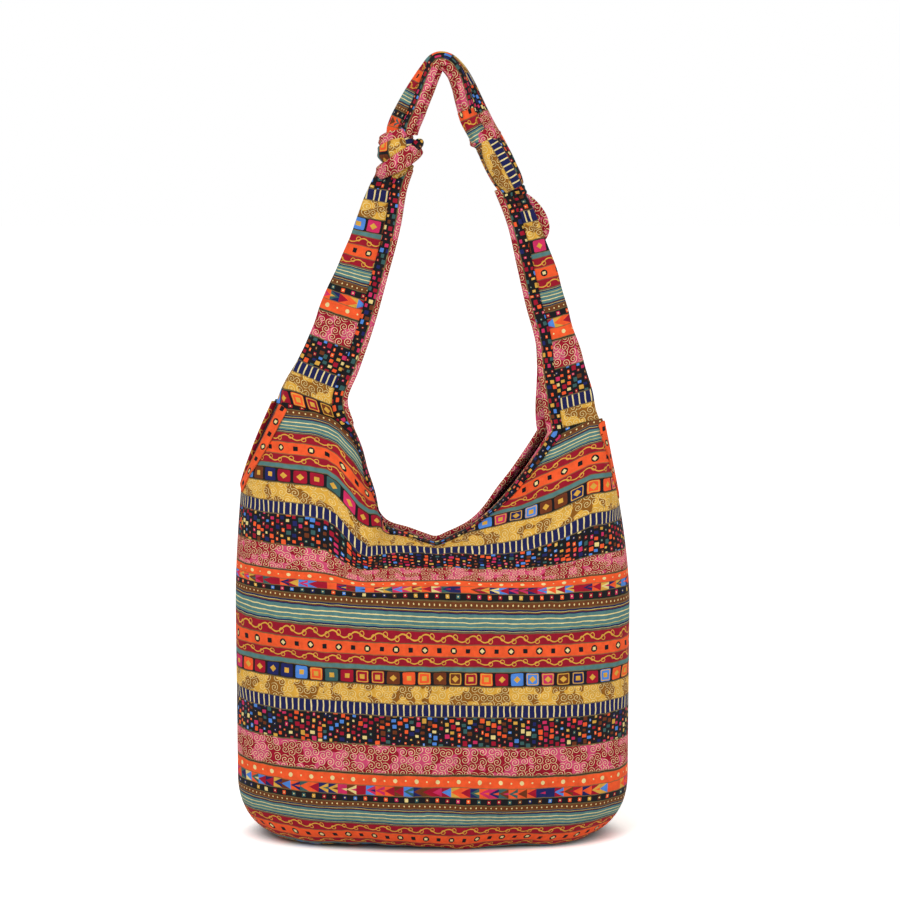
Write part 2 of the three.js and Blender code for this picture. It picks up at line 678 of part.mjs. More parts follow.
const group = new THREE.Group();

function addPart(name, part, finish) {
  const mesh = part.getMesh();
  const geometry = new THREE.BufferGeometry();
  geometry.setAttribute('position', new THREE.BufferAttribute(new Float32Array(mesh.vertProperties), 3));
  geometry.setIndex(new THREE.BufferAttribute(new Uint32Array(mesh.triVerts), 1));
  geometry.computeVertexNormals();
  const piece = new THREE.Mesh(geometry, new THREE.MeshStandardMaterial({ metalness: 0, ...finishes[finish] }));
  piece.name = name;
  group.add(piece);
}

const makePanel = (sheet) => solid(thicken(sheet, CLOTH / 2, CLOTH / 2, squareAtSeams));
const frontPanel = makePanel(sheets.front);
const backPanel = makePanel(sheets.back);
const straps = makeStraps();
const cloths = [frontPanel, backPanel, straps.left, straps.right];
addPart('front_panel', frontPanel, 'print');
addPart('back_panel', backPanel, 'print');
addPart('lining', makeLining(), 'inner');
addPart('left_strap', straps.left, 'print');
addPart('right_strap', straps.right, 'print');
addPart('front_binding', makeBinding(-1, cloths), 'trim');
addPart('back_binding', makeBinding(1, cloths), 'trim');
addPart('left_pocket_band', makeBand(true, cloths), 'band');
addPart('right_pocket_band', makeBand(false, cloths), 'band');
addPart('left_pocket_pouch', makePouch(true), 'inner');
addPart('right_pocket_pouch', makePouch(false), 'inner');

export default group;
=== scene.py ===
"""A slouchy shoulder bag sewn from striped printed cotton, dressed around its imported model.

Shapes are worked out in millimetres with the front facing -Y, and written to meshes in metres.
"""

import math

import bmesh
import bpy
import numpy as np
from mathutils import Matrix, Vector, noise
from mathutils.bvhtree import BVHTree


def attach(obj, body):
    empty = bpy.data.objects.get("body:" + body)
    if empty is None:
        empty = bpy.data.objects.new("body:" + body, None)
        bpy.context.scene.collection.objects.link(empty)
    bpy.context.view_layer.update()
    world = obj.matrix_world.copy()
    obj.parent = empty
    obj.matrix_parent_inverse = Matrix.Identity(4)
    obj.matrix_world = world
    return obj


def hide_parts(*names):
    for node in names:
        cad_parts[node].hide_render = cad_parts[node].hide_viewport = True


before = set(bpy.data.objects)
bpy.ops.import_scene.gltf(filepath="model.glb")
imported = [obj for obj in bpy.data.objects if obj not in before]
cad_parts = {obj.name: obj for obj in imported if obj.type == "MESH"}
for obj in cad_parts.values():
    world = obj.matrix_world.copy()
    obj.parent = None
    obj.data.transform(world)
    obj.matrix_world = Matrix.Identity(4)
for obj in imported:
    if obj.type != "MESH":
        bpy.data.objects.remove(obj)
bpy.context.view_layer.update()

MM = 0.001
BACKWARDS = np.array([0, 1, 0])

# Cloth
CLOTH = 1.6
TRIM_CLOTH = 1.0
LINING_CLOTH = 0.8
GAP = 0.3
SEAM_GAP = 0.6
SEAM_TUCK = 5
LINING_INSET = 2.6

# Bindings and bands: their widths outside and inside, how far they roll past the edge, how far they stand off
BINDING_WIDTH = 12
BAND_WIDTH = 11
INSIDE_WIDTH = 8
BINDING_ROLL = 3.2
OUTER_LEG = CLOTH / 2 + GAP + TRIM_CLOTH
LINED_LEG = OUTER_LEG + 1.1

# Body
BODY_HALF_WIDTH = 190
BODY_HALF_DEPTH = 78
BASE_HALF_WIDTH = 140
BASE_HALF_DEPTH = 48
CORNER_HEIGHT = 60
PILLOW_POWER = 3
NECK_HEIGHT = 291
NECK_HALF_GAP = 13
NECK_LEAN = 46
LEAN_GROWTH = 1.25
BACK_SHIFT = -9
LEFT_TIP = np.array([-184, 0, 346])
RIGHT_TIP = np.array([178, 0, 338])
LEFT_OUTER_END = np.array([-143, 0, 428])
LEFT_INNER_END = np.array([-78, 0, 405])
RIGHT_OUTER_END = np.array([162, 0, 412])
RIGHT_INNER_END = np.array([113, 0, 398])
POUCH_DEPTH = 135
POUCH_HALF_LENGTH = 28
POUCH_HALF_THICKNESS = 13

# The pouches' share of the slanted openings
MOUTH_MIDDLE = 0.54
MOUTH_REACH = 0.38

# Rows and columns of the meshes
PANEL_COLUMNS = 170
WAY_ROWS = [(0, 8), (1, 16), (2, 44), (3, 84)]
WALL_ROW = 60
ARM_ROWS = 110
ARM_COLUMNS = 64
BINDING_STEPS = 260
BAND_STEPS = 60
EDGE_COLUMNS = 5

# Straps
ARM_PRINT_SCALE = 1.035
ARM_PLEATS = 5
PLEAT_HEIGHT = 2.2
ARM_HALF_DEPTH = 12
ARM_TOP_HALF_DEPTH = 9
STRAND_RADIUS = 8.2
STRAND_CLOSENESS = 0.85
STRAND_BASE = (LEFT_OUTER_END[2] + RIGHT_INNER_END[2]) / 2
WRAP_HALF = 4.2

# Neck edge between the shoulder seams: x, and rise above the lowest point
NECK_POINTS = [
    (-69, 92), (-64, 72), (-57, 50), (-51, 24), (-43, 15), (-24, 9), (-8, 3), (3, 0), (16, 5),
    (37, 16), (58, 33), (76, 53), (91, 73), (107, 97),
]

# Arm edges above the shoulder seam's ends: x, and rise above that end
LEFT_OUTER = [(-135, 24), (-120, 56), (-99, 108), (-80, 150), (-58, 204), (-49, 219)]
LEFT_INNER = [(-84, 24), (-73, 53), (-58, 97), (-46, 140), (-34, 185), (-27, 224), (-21, 242)]
RIGHT_OUTER = [(157, 14), (146, 50), (128, 105), (108, 166), (92, 200), (82, 218)]
RIGHT_INNER = [(109, 24), (104, 62), (102, 85), (92, 122), (84, 157), (74, 199), (62, 230)]

# Middle line of the two gathered strands over the top: x, height above the shoulder, width of both together
ARCH = [
    (-38, 224, 19), (-31, 243, 26), (-28, 258, 28), (-28, 271, 30), (-19, 292, 28), (-10, 310, 25),
    (-2, 325, 21), (5, 335, 18.4), (13, 335, 18.4), (22, 327, 19.5), (29, 314, 22), (34, 300, 25),
    (40, 284, 28), (48, 269, 28), (57, 255, 27), (65, 240, 25), (72, 224, 23), (77, 207, 19),
]

# Ends that stick out of the right and the left knot: x, height above the shoulder
TAIL = [(75, 207), (87, 203), (98, 192), (104, 178), (103, 165)]
EAR = [(-20, 253), (-14, 258), (-9, 263)]
LEFT_KNOT = {"x": -32, "rise": 246, "tilt": 8, "half_width": 23, "half_depth": 20}
RIGHT_KNOT = {"x": 62, "rise": 243, "tilt": 29, "half_width": 18, "half_depth": 18}


def lerp(a, b, t):
    return a + (b - a) * t


def smooth(t):
    t = np.clip(t, 0, 1)
    return t * t * (3 - 2 * t)


def full_turn(count):
    return np.linspace(0, 2 * math.pi, count)


def pairs(u, v):
    """Two numbers for each spot of a grid, as one array."""
    return np.stack(np.broadcast_arrays(u, v), -1)


# Camera, lights and floor

# The kinds of ray that see the background white
WHITE_TO = ["Is Camera Ray", "Is Glossy Ray", "Is Transmission Ray"]
CLOTH_SHINE = 0.18
CAMERA_DISTANCE = 2.2
CAMERA_ELEVATION = math.radians(8)
CAMERA_TARGET = Vector((0.0168, 0, 0.3795))
CAMERA_FIELD = math.radians(22.3)
WORLD_STRENGTH = 0.6
FLOOR_SIZE = 14
FLOOR_GREY = 0.8
FLOOR_WHITE = 1.95
# Painted shadow round the base: the darkest share of the seen floor's colour, and the half sizes of its
# ellipse
PAINTED_FOOT_SHADOW = 0.3
FOOT_HALF_WIDTH = 0.165
FOOT_HALF_DEPTH = 0.062

# Area lamps: name, place, size and power, all turned to LIT_SPOT
LIT_SPOT = (0, 0, 0.35)
LAMPS = [("key", (-0.9, -1.6, 1.7), 1.2, 18), ("fill", (1.5, -1.3, 0.9), 1.4, 8)]


def add_camera():
    camera = bpy.data.objects.new("camera", bpy.data.cameras.new("camera"))
    bpy.context.collection.objects.link(camera)
    away = Vector((0, -math.cos(CAMERA_ELEVATION), math.sin(CAMERA_ELEVATION)))
    camera.location = CAMERA_TARGET + away * CAMERA_DISTANCE
    camera.rotation_euler = (-away).to_track_quat("-Z", "Y").to_euler()
    camera.data.angle = CAMERA_FIELD
    camera.data.clip_start = 0.1
    bpy.context.scene.camera = camera


def of_one(operation):
    return lambda wire: wire.maths(operation, wire)


def of_two(operation):
    """A method of a wire and another value, and the same for when the wire comes second."""
    return (
        lambda wire, other: wire.maths(operation, wire, other),
        lambda wire, other: wire.maths(operation, other, wire),
    )


class Wire:
    """A shader socket that takes part in Python sums."""

    def __init__(self, paint, socket):
        self.paint = paint
        self.socket = socket

    def maths(self, operation, *values):
        node = self.paint.node("Math", {"operation": operation}, dict(enumerate(values)))
        return Wire(self.paint, node.outputs[0])

    def square(self):
        return self * self

    __add__, __radd__ = of_two("ADD")
    __sub__, __rsub__ = of_two("SUBTRACT")
    __mul__, __rmul__ = of_two("MULTIPLY")
    __truediv__, __rtruediv__ = of_two("DIVIDE")
    __pow__ = of_two("POWER")[0]
    __lt__, __gt__ = of_two("LESS_THAN")
    lesser = of_two("MINIMUM")[0]
    greater = of_two("MAXIMUM")[0]
    __abs__ = of_one("ABSOLUTE")
    floor = of_one("FLOOR")
    fraction = of_one("FRACT")
    sine = of_one("SINE")


class Paint:
    """The node tree of a material or the world, with one method that makes any node."""

    def __init__(self, owner):
        self.owner = owner
        owner.use_nodes = True
        self.tree = owner.node_tree
        self.tree.nodes.clear()

    def node(self, kind, settings=None, sockets=None):
        made = self.tree.nodes.new("ShaderNode" + kind)
        for key, value in (settings or {}).items():
            if key == "stops":
                self.set_stops(made.color_ramp, value)
            elif key == "interpolation" and kind == "ValToRGB":
                made.color_ramp.interpolation = value
            else:
                setattr(made, key, value)
        for key, value in (sockets or {}).items():
            target = made.inputs[key]
            if isinstance(value, Wire):
                self.tree.links.new(value.socket, target)
            else:
                target.default_value = value
        return made

    def set_stops(self, ramp, stops):
        while len(ramp.elements) > 1:
            ramp.elements.remove(ramp.elements[0])
        for count, (place, colour) in enumerate(stops):
            stop = ramp.elements[0] if count == 0 else ramp.elements.new(place)
            stop.position = place
            stop.color = (*colour, 1)

    def wire(self, kind, settings=None, sockets=None, output=0):
        return Wire(self, self.node(kind, settings, sockets).outputs[output])

    def parts(self, vector):
        node = self.node("SeparateXYZ", None, {0: vector})
        return [Wire(self, out) for out in node.outputs]

    def vector(self, x, y, z=0.0):
        return self.wire("CombineXYZ", None, {0: x, 1: y, 2: z})

    def steps(self, place, stops):
        """A ramp that jumps from stop to stop."""
        return self.wire("ValToRGB", {"interpolation": "CONSTANT", "stops": stops}, {0: place})

    def mix(self, share, first, second):
        """Two colours mixed: a Mix node has its colours at inputs 6 and 7 and at output 2."""
        return self.wire("Mix", {"data_type": "RGBA"}, {0: share, 6: first, 7: second}, 2)

    def sees_white(self):
        """1 for the kinds of ray that see the background white, and 0 for all others."""
        path = self.node("LightPath")
        return sum(Wire(self, path.outputs[kind]) for kind in WHITE_TO).lesser(1)

    def finish(self, colour, roughness, sheen=0.0, normal=None):
        sockets = {"Base Color": colour, "Roughness": roughness, "Sheen Weight": sheen}
        sockets["Specular IOR Level"] = CLOTH_SHINE
        if normal is not None:
            sockets["Normal"] = normal
        surface = self.wire("BsdfPrincipled", None, sockets)
        self.node("OutputMaterial", None, {0: surface})
        return self.owner


def tone(code):
    """A colour written as six hexadecimal digits, as linear red, green and blue."""
    shares = [int(code[k : k + 2], 16) / 255 for k in (0, 2, 4)]
    return tuple(c / 12.92 if c <= 0.04045 else ((c + 0.055) / 1.055) ** 2.4 for c in shares)


def add_light(name, place, size, power):
    light = bpy.data.objects.new(name, bpy.data.lights.new(name, "AREA"))
    bpy.context.collection.objects.link(light)
    light.data.size = size
    light.data.energy = power
    light.location = place
    light.rotation_euler = (Vector(LIT_SPOT) - Vector(place)).to_track_quat("-Z", "Y").to_euler()


def make_floor():
    """Pale grey where it lights the bag, white where it is seen, and darkened close round the base by a
    painted shadow.
    """
    paint = Paint(bpy.data.materials.new("floor"))
    x, y, _ = paint.parts(paint.wire("TexCoord", output="Object"))
    # Painted shadow: the seen floor's colour darkens inside an ellipse round the bag's footprint
    reach = ((x / FOOT_HALF_WIDTH).square() + (y / FOOT_HALF_DEPTH).square()) ** 0.5
    shade = {"Value": reach, "From Min": 0.9, "From Max": 1.2, "To Min": PAINTED_FOOT_SHADOW, "To Max": FLOOR_WHITE}
    clear = paint.wire("MapRange", {"interpolation_type": "SMOOTHSTEP"}, shade)
    seen = paint.wire("BsdfDiffuse", None, {"Color": paint.vector(clear, clear * 0.985, clear * 0.98)})
    plain = paint.wire("BsdfDiffuse", None, {"Color": (FLOOR_GREY, FLOOR_GREY, FLOOR_GREY, 1)})
    surface = paint.wire("MixShader", None, {0: paint.sees_white(), 1: plain, 2: seen})
    paint.node("OutputMaterial", None, {0: surface})
    return paint.owner


def make_world():
    """Even grey light, and white where it is seen."""
    world = bpy.data.worlds.new("studio")
    bpy.context.scene.world = world
    paint = Paint(world)
    strength = paint.sees_white() * (1 - WORLD_STRENGTH) + WORLD_STRENGTH
    sky = paint.wire("Background", None, {"Color": (1, 1, 1, 1), "Strength": strength})
    paint.node("OutputWorld", None, {0: sky})


def add_studio():
    make_world()
    for lamp in LAMPS:
        add_light(*lamp)

    bm = bmesh.new()
    bmesh.ops.create_grid(bm, x_segments=1, y_segments=1, size=FLOOR_SIZE)
    mesh = bpy.data.meshes.new("floor")
    bm.to_mesh(mesh)
    bm.free()
    floor = bpy.data.objects.new("floor", mesh)
    bpy.context.collection.objects.link(floor)
    floor.data.materials.append(make_floor())


# The printed stripes, from the top of one repeat to its bottom

BLACK = tone("09080C")
NAVY = tone("171A4C")
ORANGE = tone("F25A2A")
GOLD = tone("DBA63F")
CREAM = tone("EDD896")
BROWN = tone("6B3A1A")
DARK_GOLD = tone("8F5A18")
CRIMSON = tone("960F26")
PINK = tone("CF4A70")
PALE_GOLD = tone("F5DFA6")
TEAL = tone("547C7A")
PALE_LINE = tone("C9BC72")
EDGE_GOLD = tone("74613A")

PALETTE = [
    (0.0, tone("A00F2A")), (0.19, tone("F25A2A")), (0.37, tone("4F86D6")), (0.48, tone("6B3317")),
    (0.58, tone("CC2B5E")), (0.68, tone("1C2058")), (0.78, tone("375C5A")), (0.86, tone("D9A441")),
    (0.95, tone("E6CF86")),
]

# Each stripe: height, ground, pitch and rows of its motifs, the motif's half width and half height as shares
# of its cell, roundness (1 diamond, 2 disc, 10 box), motif colour, inner colour and its share of the motif.
# many: colours from PALETTE. frame: framed squares. jitter: uneven cells. shrink: each second motif smaller.
# switch: discs and boxes by turns. patch and line: the colours under and of the curls.
STRIPES = [
    dict(name="squares", height=14, ground=BLACK, pitch=14.6, wide=0.41, tall=0.42, round=10, many=1,
         centre=0.5, inner=GOLD, frame=1),
    dict(name="gold curls", height=18, ground=GOLD, patch=DARK_GOLD, curls=1, line=CREAM),
    dict(name="ladder", height=12.3, ground=NAVY, pitch=5.9, wide=0.11, tall=0.46, round=10, motif=CREAM),
    dict(name="mosaic", height=28.5, ground=BLACK, pitch=5.5, rows=5, wide=0.42, tall=0.42, round=10, many=1,
         jitter=1, centre=0.42, inner=CREAM),
    dict(name="pink curls", height=27.2, ground=CRIMSON, patch=PINK, curls=1, line=PALE_GOLD),
    dict(name="black line", height=2, ground=BLACK),
    dict(name="orange dots", height=10.8, ground=ORANGE, pitch=10, wide=0.2, tall=0.2, round=2, motif=CREAM,
         shrink=0.6),
    dict(name="triangles", height=9.8, ground=BLACK, pitch=9, triangles=1, many=1),
    dict(name="small squares", height=7, ground=BLACK, pitch=9.8, wide=0.17, tall=0.26, round=10, many=1,
         centre=0.45, inner=CREAM),
    dict(name="brown dots", height=5.2, ground=BROWN, pitch=4.9, wide=0.13, tall=0.15, round=2, motif=CREAM),
    dict(name="fine stripes", height=17.5, ground=TEAL, fine=1),
    dict(name="upper vine", height=9.8, ground=CRIMSON, vine=1),
    dict(name="rings", height=11.7, ground=ORANGE, pitch=13.5, wide=0.24, tall=0.3, round=2, motif=BLACK,
         centre=0.62, inner=CREAM, switch=1),
    dict(name="lower vine", height=9.8, ground=CRIMSON, vine=1),
    dict(name="thin teal", height=4.6, ground=TEAL),
]
REPEAT = sum(stripe["height"] for stripe in STRIPES)

FINE_LINES = [
    (0.0, NAVY), (0.09, PALE_LINE), (0.12, BROWN), (0.17, NAVY), (0.22, TEAL), (0.36, CREAM), (0.41, TEAL),
    (0.57, CREAM), (0.61, TEAL), (0.75, PALE_LINE), (0.78, TEAL), (0.87, NAVY), (0.93, PALE_LINE),
    (0.955, NAVY),
]

# What a stripe has where it states nothing
PLAIN = dict(
    pitch=10, rows=1, wide=0, tall=0, round=2, jitter=0, centre=0, shrink=0, switch=0, many=0, frame=0,
    curls=0, triangles=0, vine=0, fine=0, motif=GOLD, inner=GOLD, line=BROWN, patch=BROWN,
)

# Ramps hold numbers from 0 to 1, so these are divided by their largest value and multiplied again
LARGEST = dict(height=40, pitch=40, cell=40, round=10)

# Print details: sizes in millimetres, scales of noise, and shares of a cell or stripe
WOBBLE = 1.2
WOBBLE_SCALE = 90
CURL_CELL = 7.6
CURL_TURNS = 3.3
CURL_LINE = 0.1
CURL_REACH = 0.56
CURL_SCATTER = 0.45
PATCH_SCALE = 62
PATCH_LEVEL = 0.53
VINE_PITCH = 22
VINE_SWING = 0.24
VINE_STEM = 0.058
RING_OFFSET = 0.12
RING_TALL = 9.5
RING_RADIUS = 1.9
RING_LINE = 0.34
EDGE_LINE = 0.45
EDGE_STRENGTH = 0.8
WEAR_SCALE = 160
WEAR_DEPTH = 0.55
CRUMPLE_SCALE = 55


def stripe_starts():
    starts = {}
    at = 0
    for stripe in STRIPES:
        starts[stripe["name"]] = at
        at += stripe["height"]
    return starts


STARTS = stripe_starts()


def curl_lines(paint, u, v):
    """1 on the curls: spiral lines round scattered points."""
    scatter = paint.vector(u / CURL_CELL, v / CURL_CELL)
    near = paint.node(
        "TexVoronoi", {"voronoi_dimensions": "2D", "feature": "F1"},
        {"Vector": scatter, "Scale": 1.0, "Randomness": CURL_SCATTER},
    )
    from_spot = {0: scatter, 1: Wire(paint, near.outputs["Position"])}
    away_u, away_v, _ = paint.parts(paint.wire("VectorMath", {"operation": "SUBTRACT"}, from_spot))
    angle = away_u.maths("ARCTAN2", away_v, away_u) / (2 * math.pi)
    from_middle = Wire(paint, near.outputs["Distance"])
    winding = (from_middle * CURL_TURNS + angle).fraction()
    return (abs(winding - 0.5) < CURL_LINE) * (from_middle < CURL_REACH)


def vine_lines(u, height_share):
    """1 on the vine: a wave with a ring in each of its bays. height_share is 0 in the stripe's middle."""
    wave = (u * (2 * math.pi / VINE_PITCH)).sine()
    stem = abs(height_share - wave * VINE_SWING) < VINE_STEM
    bay_u = (u / (VINE_PITCH / 2) + 0.5).fraction() - 0.5
    bay_side = (((u / VINE_PITCH + 0.25).fraction() > 0.5) * 2) - 1
    ring_u = bay_u * (VINE_PITCH / 2)
    ring_v = (height_share - bay_side * RING_OFFSET) * RING_TALL
    ring = abs((ring_u**2 + ring_v**2) ** 0.5 - RING_RADIUS) < RING_LINE
    return stem.greater(ring)


def make_print(name):
    """The striped print. The map "print" holds metres: along the stripes, and down across them."""
    paint = Paint(bpy.data.materials.new(name))
    spot = paint.wire("UVMap", {"uv_map": "print"})
    flat = {"noise_dimensions": "2D"}
    u, v, _ = paint.parts(spot)
    wobble = paint.wire("TexNoise", flat, {"Vector": spot, "Scale": WOBBLE_SCALE, "Detail": 1}, "Color")
    wobble_u, wobble_v, _ = paint.parts(wobble)
    u = u / MM + (wobble_u - 0.5) * WOBBLE
    v = v / MM + (wobble_v - 0.5) * WOBBLE
    turn = (v / REPEAT).fraction()

    places = [STARTS[stripe["name"]] / REPEAT for stripe in STRIPES]
    full = [
        {**PLAIN, **stripe, "start": place, "cell": stripe["height"] / stripe.get("rows", 1)}
        for stripe, place in zip(STRIPES, places)
    ]

    def numbers(*keys):
        """Three numbers of each stripe, as the channels of one ramp."""
        stops = [[stripe[key] / LARGEST.get(key, 1) for key in keys] for stripe in full]
        channels = paint.parts(paint.steps(turn, list(zip(places, stops))))
        return [wire * LARGEST[key] if key in LARGEST else wire for wire, key in zip(channels, keys)]

    def colours(key):
        return paint.steps(turn, [(place, stripe[key]) for place, stripe in zip(places, full)])

    start, height, pitch = numbers("start", "height", "pitch")
    cell, wide, tall = numbers("cell", "wide", "tall")
    rounding, jitter, centre = numbers("round", "jitter", "centre")
    many, curls, shrink = numbers("many", "curls", "shrink")
    triangles, vine, fine = numbers("triangles", "vine", "fine")
    switch, frame_line, _ = numbers("switch", "frame", "fine")

    down = (turn - start) * REPEAT
    column_place = u / pitch
    column = column_place.floor()
    row_place = down / cell + (column * 0.618).fraction() * jitter
    row = row_place.floor()
    cell_u = column_place.fraction() - 0.5
    cell_v = row_place.fraction() - 0.5
    odd = ((column / 2).fraction()) * 2
    seed = paint.vector(column, row + start * 97, (v / REPEAT).floor())
    draw = paint.node("TexWhiteNoise", {"noise_dimensions": "3D"}, {"Vector": seed})
    chance = Wire(paint, draw.outputs["Value"])
    chances = paint.parts(Wire(paint, draw.outputs["Color"]))

    # A motif's size and place in its cell, which differ from cell to cell where the stripe has jitter
    size = 1 - shrink * odd - switch * (1 - odd) * 0.35
    shifted = cell_u + (chances[2] - 0.5) * jitter * 0.34
    reach_u = abs(shifted) / (wide * (size - jitter * chances[1] * 0.66) + 0.0001)
    reach_v = abs(cell_v) / (tall * (size - jitter * (chances[2] * 0.4 + chances[1] * 0.3)) + 0.0001)

    # Its outline, where reach is 1
    power = rounding.greater(switch * (1 - odd) * 10)
    reach = (reach_u.lesser(4) ** power + reach_v.lesser(4) ** power) ** (1 / power)
    shape = (reach < 1) * (wide > 0.01)

    # Its inner mark, a diamond or a box, and a frame round some of the squares
    diamond = (reach_u + reach_v) < centre * 1.1
    box = reach_u.greater(reach_v) < centre * 0.75
    turned = chances[2] > 0.5
    middle = (diamond * turned + box * (1 - turned)).lesser(1)
    middle = middle * (centre > 0.01) * (1 - switch * (1 - odd)) * (1 - jitter * (chances[1] < 0.55))
    border = (abs(reach - 0.84) < 0.07) * (chances[1] > 0.6) * frame_line

    # Triangles lying on their sides, each with a smaller one inside
    pointing = (abs(cell_v) * 2.1) < (cell_u + 0.5)
    inside = (abs(cell_v) * 4.4) < (cell_u + 0.1)

    curl_line = curl_lines(paint, u, v) * curls
    patches = paint.wire("TexNoise", flat, {"Vector": spot, "Scale": PATCH_SCALE, "Detail": 1.5})
    patched = (patches > PATCH_LEVEL) * curls
    vine_line = vine_lines(u, down / height - 0.5) * vine

    colour = colours("ground")
    colour = paint.mix(patched, colour, colours("patch"))
    colour = paint.mix(curl_line, colour, colours("line"))
    # The palette's last two colours, gold and cream, stay out of the large squares
    picked = paint.steps(chance * (1 - frame_line * 0.14), PALETTE)
    motif = paint.mix(many, colours("motif"), picked)
    colour = paint.mix(shape, colour, motif)
    colour = paint.mix(middle * shape, colour, colours("inner"))
    colour = paint.mix(border, colour, (*GOLD, 1))
    colour = paint.mix(triangles, colour, paint.steps(chances[1], PALETTE))
    colour = paint.mix(pointing * triangles, colour, picked)
    colour = paint.mix(inside * triangles * (chances[0] > 0.4), colour, paint.steps(chances[2], PALETTE))
    colour = paint.mix(vine_line, colour, (*GOLD, 1))
    colour = paint.mix(fine, colour, paint.steps(down / height, FINE_LINES))
    edge = (down.lesser(height - down)) < EDGE_LINE
    colour = paint.mix(edge * EDGE_STRENGTH, colour, (*EDGE_GOLD, 1))

    wear = paint.wire("TexNoise", flat, {"Vector": spot, "Scale": WEAR_SCALE, "Detail": 3})
    fade = (wear - 0.5) * WEAR_DEPTH + 1
    colour = paint.wire("VectorMath", {"operation": "SCALE"}, {0: colour, "Scale": fade})

    place = paint.wire("TexCoord", output="Object")
    grain = {"Vector": place, "Scale": CRUMPLE_SCALE, "Detail": 3, "Roughness": 0.55}
    crumple = paint.wire("TexNoise", None, grain)
    normal = paint.wire("Bump", None, {"Strength": 0.5, "Distance": 0.002, "Height": crumple})
    return paint.finish(colour, 0.8, 0.0, normal)


def make_plain(name, code, roughness):
    paint = Paint(bpy.data.materials.new(name))
    return paint.finish((*tone(code), 1), roughness, 0.05)


# Meshes


def cloth_grid(places, prints, facing=None, closed=False):
    """A grid of cloth as a bmesh: places and prints are rows of columns, in millimetres."""
    rows, columns = places.shape[:2]
    bm = bmesh.new()
    layer = bm.loops.layers.uv.new("print")
    bmesh.ops.create_grid(bm, x_segments=columns - 1, y_segments=rows - 1, size=0.5)
    spots = {}
    for vert in bm.verts:
        spots[vert] = (round((vert.co.y + 0.5) * (rows - 1)), round((vert.co.x + 0.5) * (columns - 1)))
    for face in bm.faces:
        for corner in face.loops:
            corner[layer].uv = prints[spots[corner.vert]] * MM
    for vert, spot in spots.items():
        vert.co = places[spot] * MM
    bmesh.ops.remove_doubles(bm, verts=bm.verts, dist=2e-6)
    if closed:
        bmesh.ops.recalc_face_normals(bm, faces=bm.faces)
    else:
        bm.normal_update()
        towards = Vector(facing)
        if sum(face.normal.dot(towards) * face.calc_area() for face in bm.faces) < 0:
            bmesh.ops.reverse_faces(bm, faces=bm.faces)
    bm.normal_update()
    return bm


def merge(target, extra):
    """Adds one bmesh to another through a mesh."""
    mesh = bpy.data.meshes.new("part")
    extra.to_mesh(mesh)
    target.from_mesh(mesh)
    bpy.data.meshes.remove(mesh)
    extra.free()


def thickened(bm, thickness):
    """The sheet as a closed shell, half its thickness to each side."""
    mesh = bpy.data.meshes.new("sheet")
    bm.to_mesh(mesh)
    bm.free()
    holder = bpy.data.objects.new("sheet", mesh)
    bpy.context.collection.objects.link(holder)
    solidify = holder.modifiers.new("cloth", "SOLIDIFY")
    solidify.thickness = thickness * MM
    solidify.offset = 0
    solidify.use_even_offset = False
    solid = bmesh.new()
    evaluated = holder.evaluated_get(bpy.context.evaluated_depsgraph_get())
    solid.from_mesh(evaluated.to_mesh())
    evaluated.to_mesh_clear()
    bpy.data.objects.remove(holder)
    bpy.data.meshes.remove(mesh)
    return solid


def add_piece(name, bm, material, slot, *nodes):
    for face in bm.faces:
        face.smooth = True
    mesh = bpy.data.meshes.new(name)
    bm.to_mesh(mesh)
    bm.free()
    mesh.materials.append(material)
    piece = bpy.data.objects.new(name, mesh)
    bpy.context.collection.objects.link(piece)
    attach(piece, "root")
    if nodes:
        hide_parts(*nodes)
    return piece


# Lines


def smooth_line(points, steps=24):
    """A smooth line through the points, as a dense run of points."""
    points = np.asarray(points, float)
    ends = np.vstack([2 * points[0] - points[1], points, 2 * points[-1] - points[-2]])
    t = np.linspace(0, 1, steps, endpoint=False)[:, None]
    stretches = []
    for before, start, end, after in zip(ends, ends[1:], ends[2:], ends[3:]):
        g0, g1, g2 = [max(math.sqrt(np.linalg.norm(b - a)), 1e-4) for a, b in
                      ((before, start), (start, end), (end, after))]
        leave = ((start - before) / g0 - (end - before) / (g0 + g1) + (end - start) / g1) * g1
        arrive = ((end - start) / g1 - (after - start) / (g1 + g2) + (after - end) / g2) * g1
        square = -3 * start + 3 * end - 2 * leave - arrive
        cube = 2 * start - 2 * end + leave + arrive
        stretches.append(start + leave * t + square * t**2 + cube * t**3)
    return np.vstack([*stretches, points[-1:]])


def runs_of(line):
    return np.concatenate([[0], np.cumsum(np.linalg.norm(np.diff(line, axis=0), axis=1))])


def follow(line, t):
    """The points at these shares of the line's length."""
    runs = runs_of(line)
    return np.stack([np.interp(np.asarray(t) * runs[-1], runs, line[:, k]) for k in range(3)], -1)


def raised(points, base, offset=0.0):
    return [(x, offset, base + rise) for x, rise in points]


class TopEdge:
    """The panels' top edge: slit, shoulder seam, neck, shoulder seam, slit. xi runs from -1 to 1."""

    # How much a rise counts next to a run where xi is spread along the edge
    STEEP_SHARE = 0.35

    def __init__(self):
        neck = smooth_line([LEFT_INNER_END, *raised(NECK_POINTS, NECK_HEIGHT), RIGHT_INNER_END])
        straight = np.linspace(0, 1, 40)[:, None]
        stretches = [
            lerp(LEFT_TIP, LEFT_OUTER_END, straight),
            lerp(LEFT_OUTER_END, LEFT_INNER_END, straight),
            neck,
            lerp(RIGHT_INNER_END, RIGHT_OUTER_END, straight),
            lerp(RIGHT_OUTER_END, RIGHT_TIP, straight),
        ]
        self.points = np.vstack(stretches)
        moves = np.abs(np.diff(self.points, axis=0))
        runs = np.concatenate([[0], np.cumsum(moves[:, 0] + self.STEEP_SHARE * moves[:, 2])])
        self.xis = 2 * runs / runs[-1] - 1
        ends = np.cumsum([len(s) for s in stretches]) - 1
        self.corners = self.xis[ends]

    def at(self, xi):
        return [np.interp(xi, self.xis, self.points[:, k]) for k in (0, 2)]


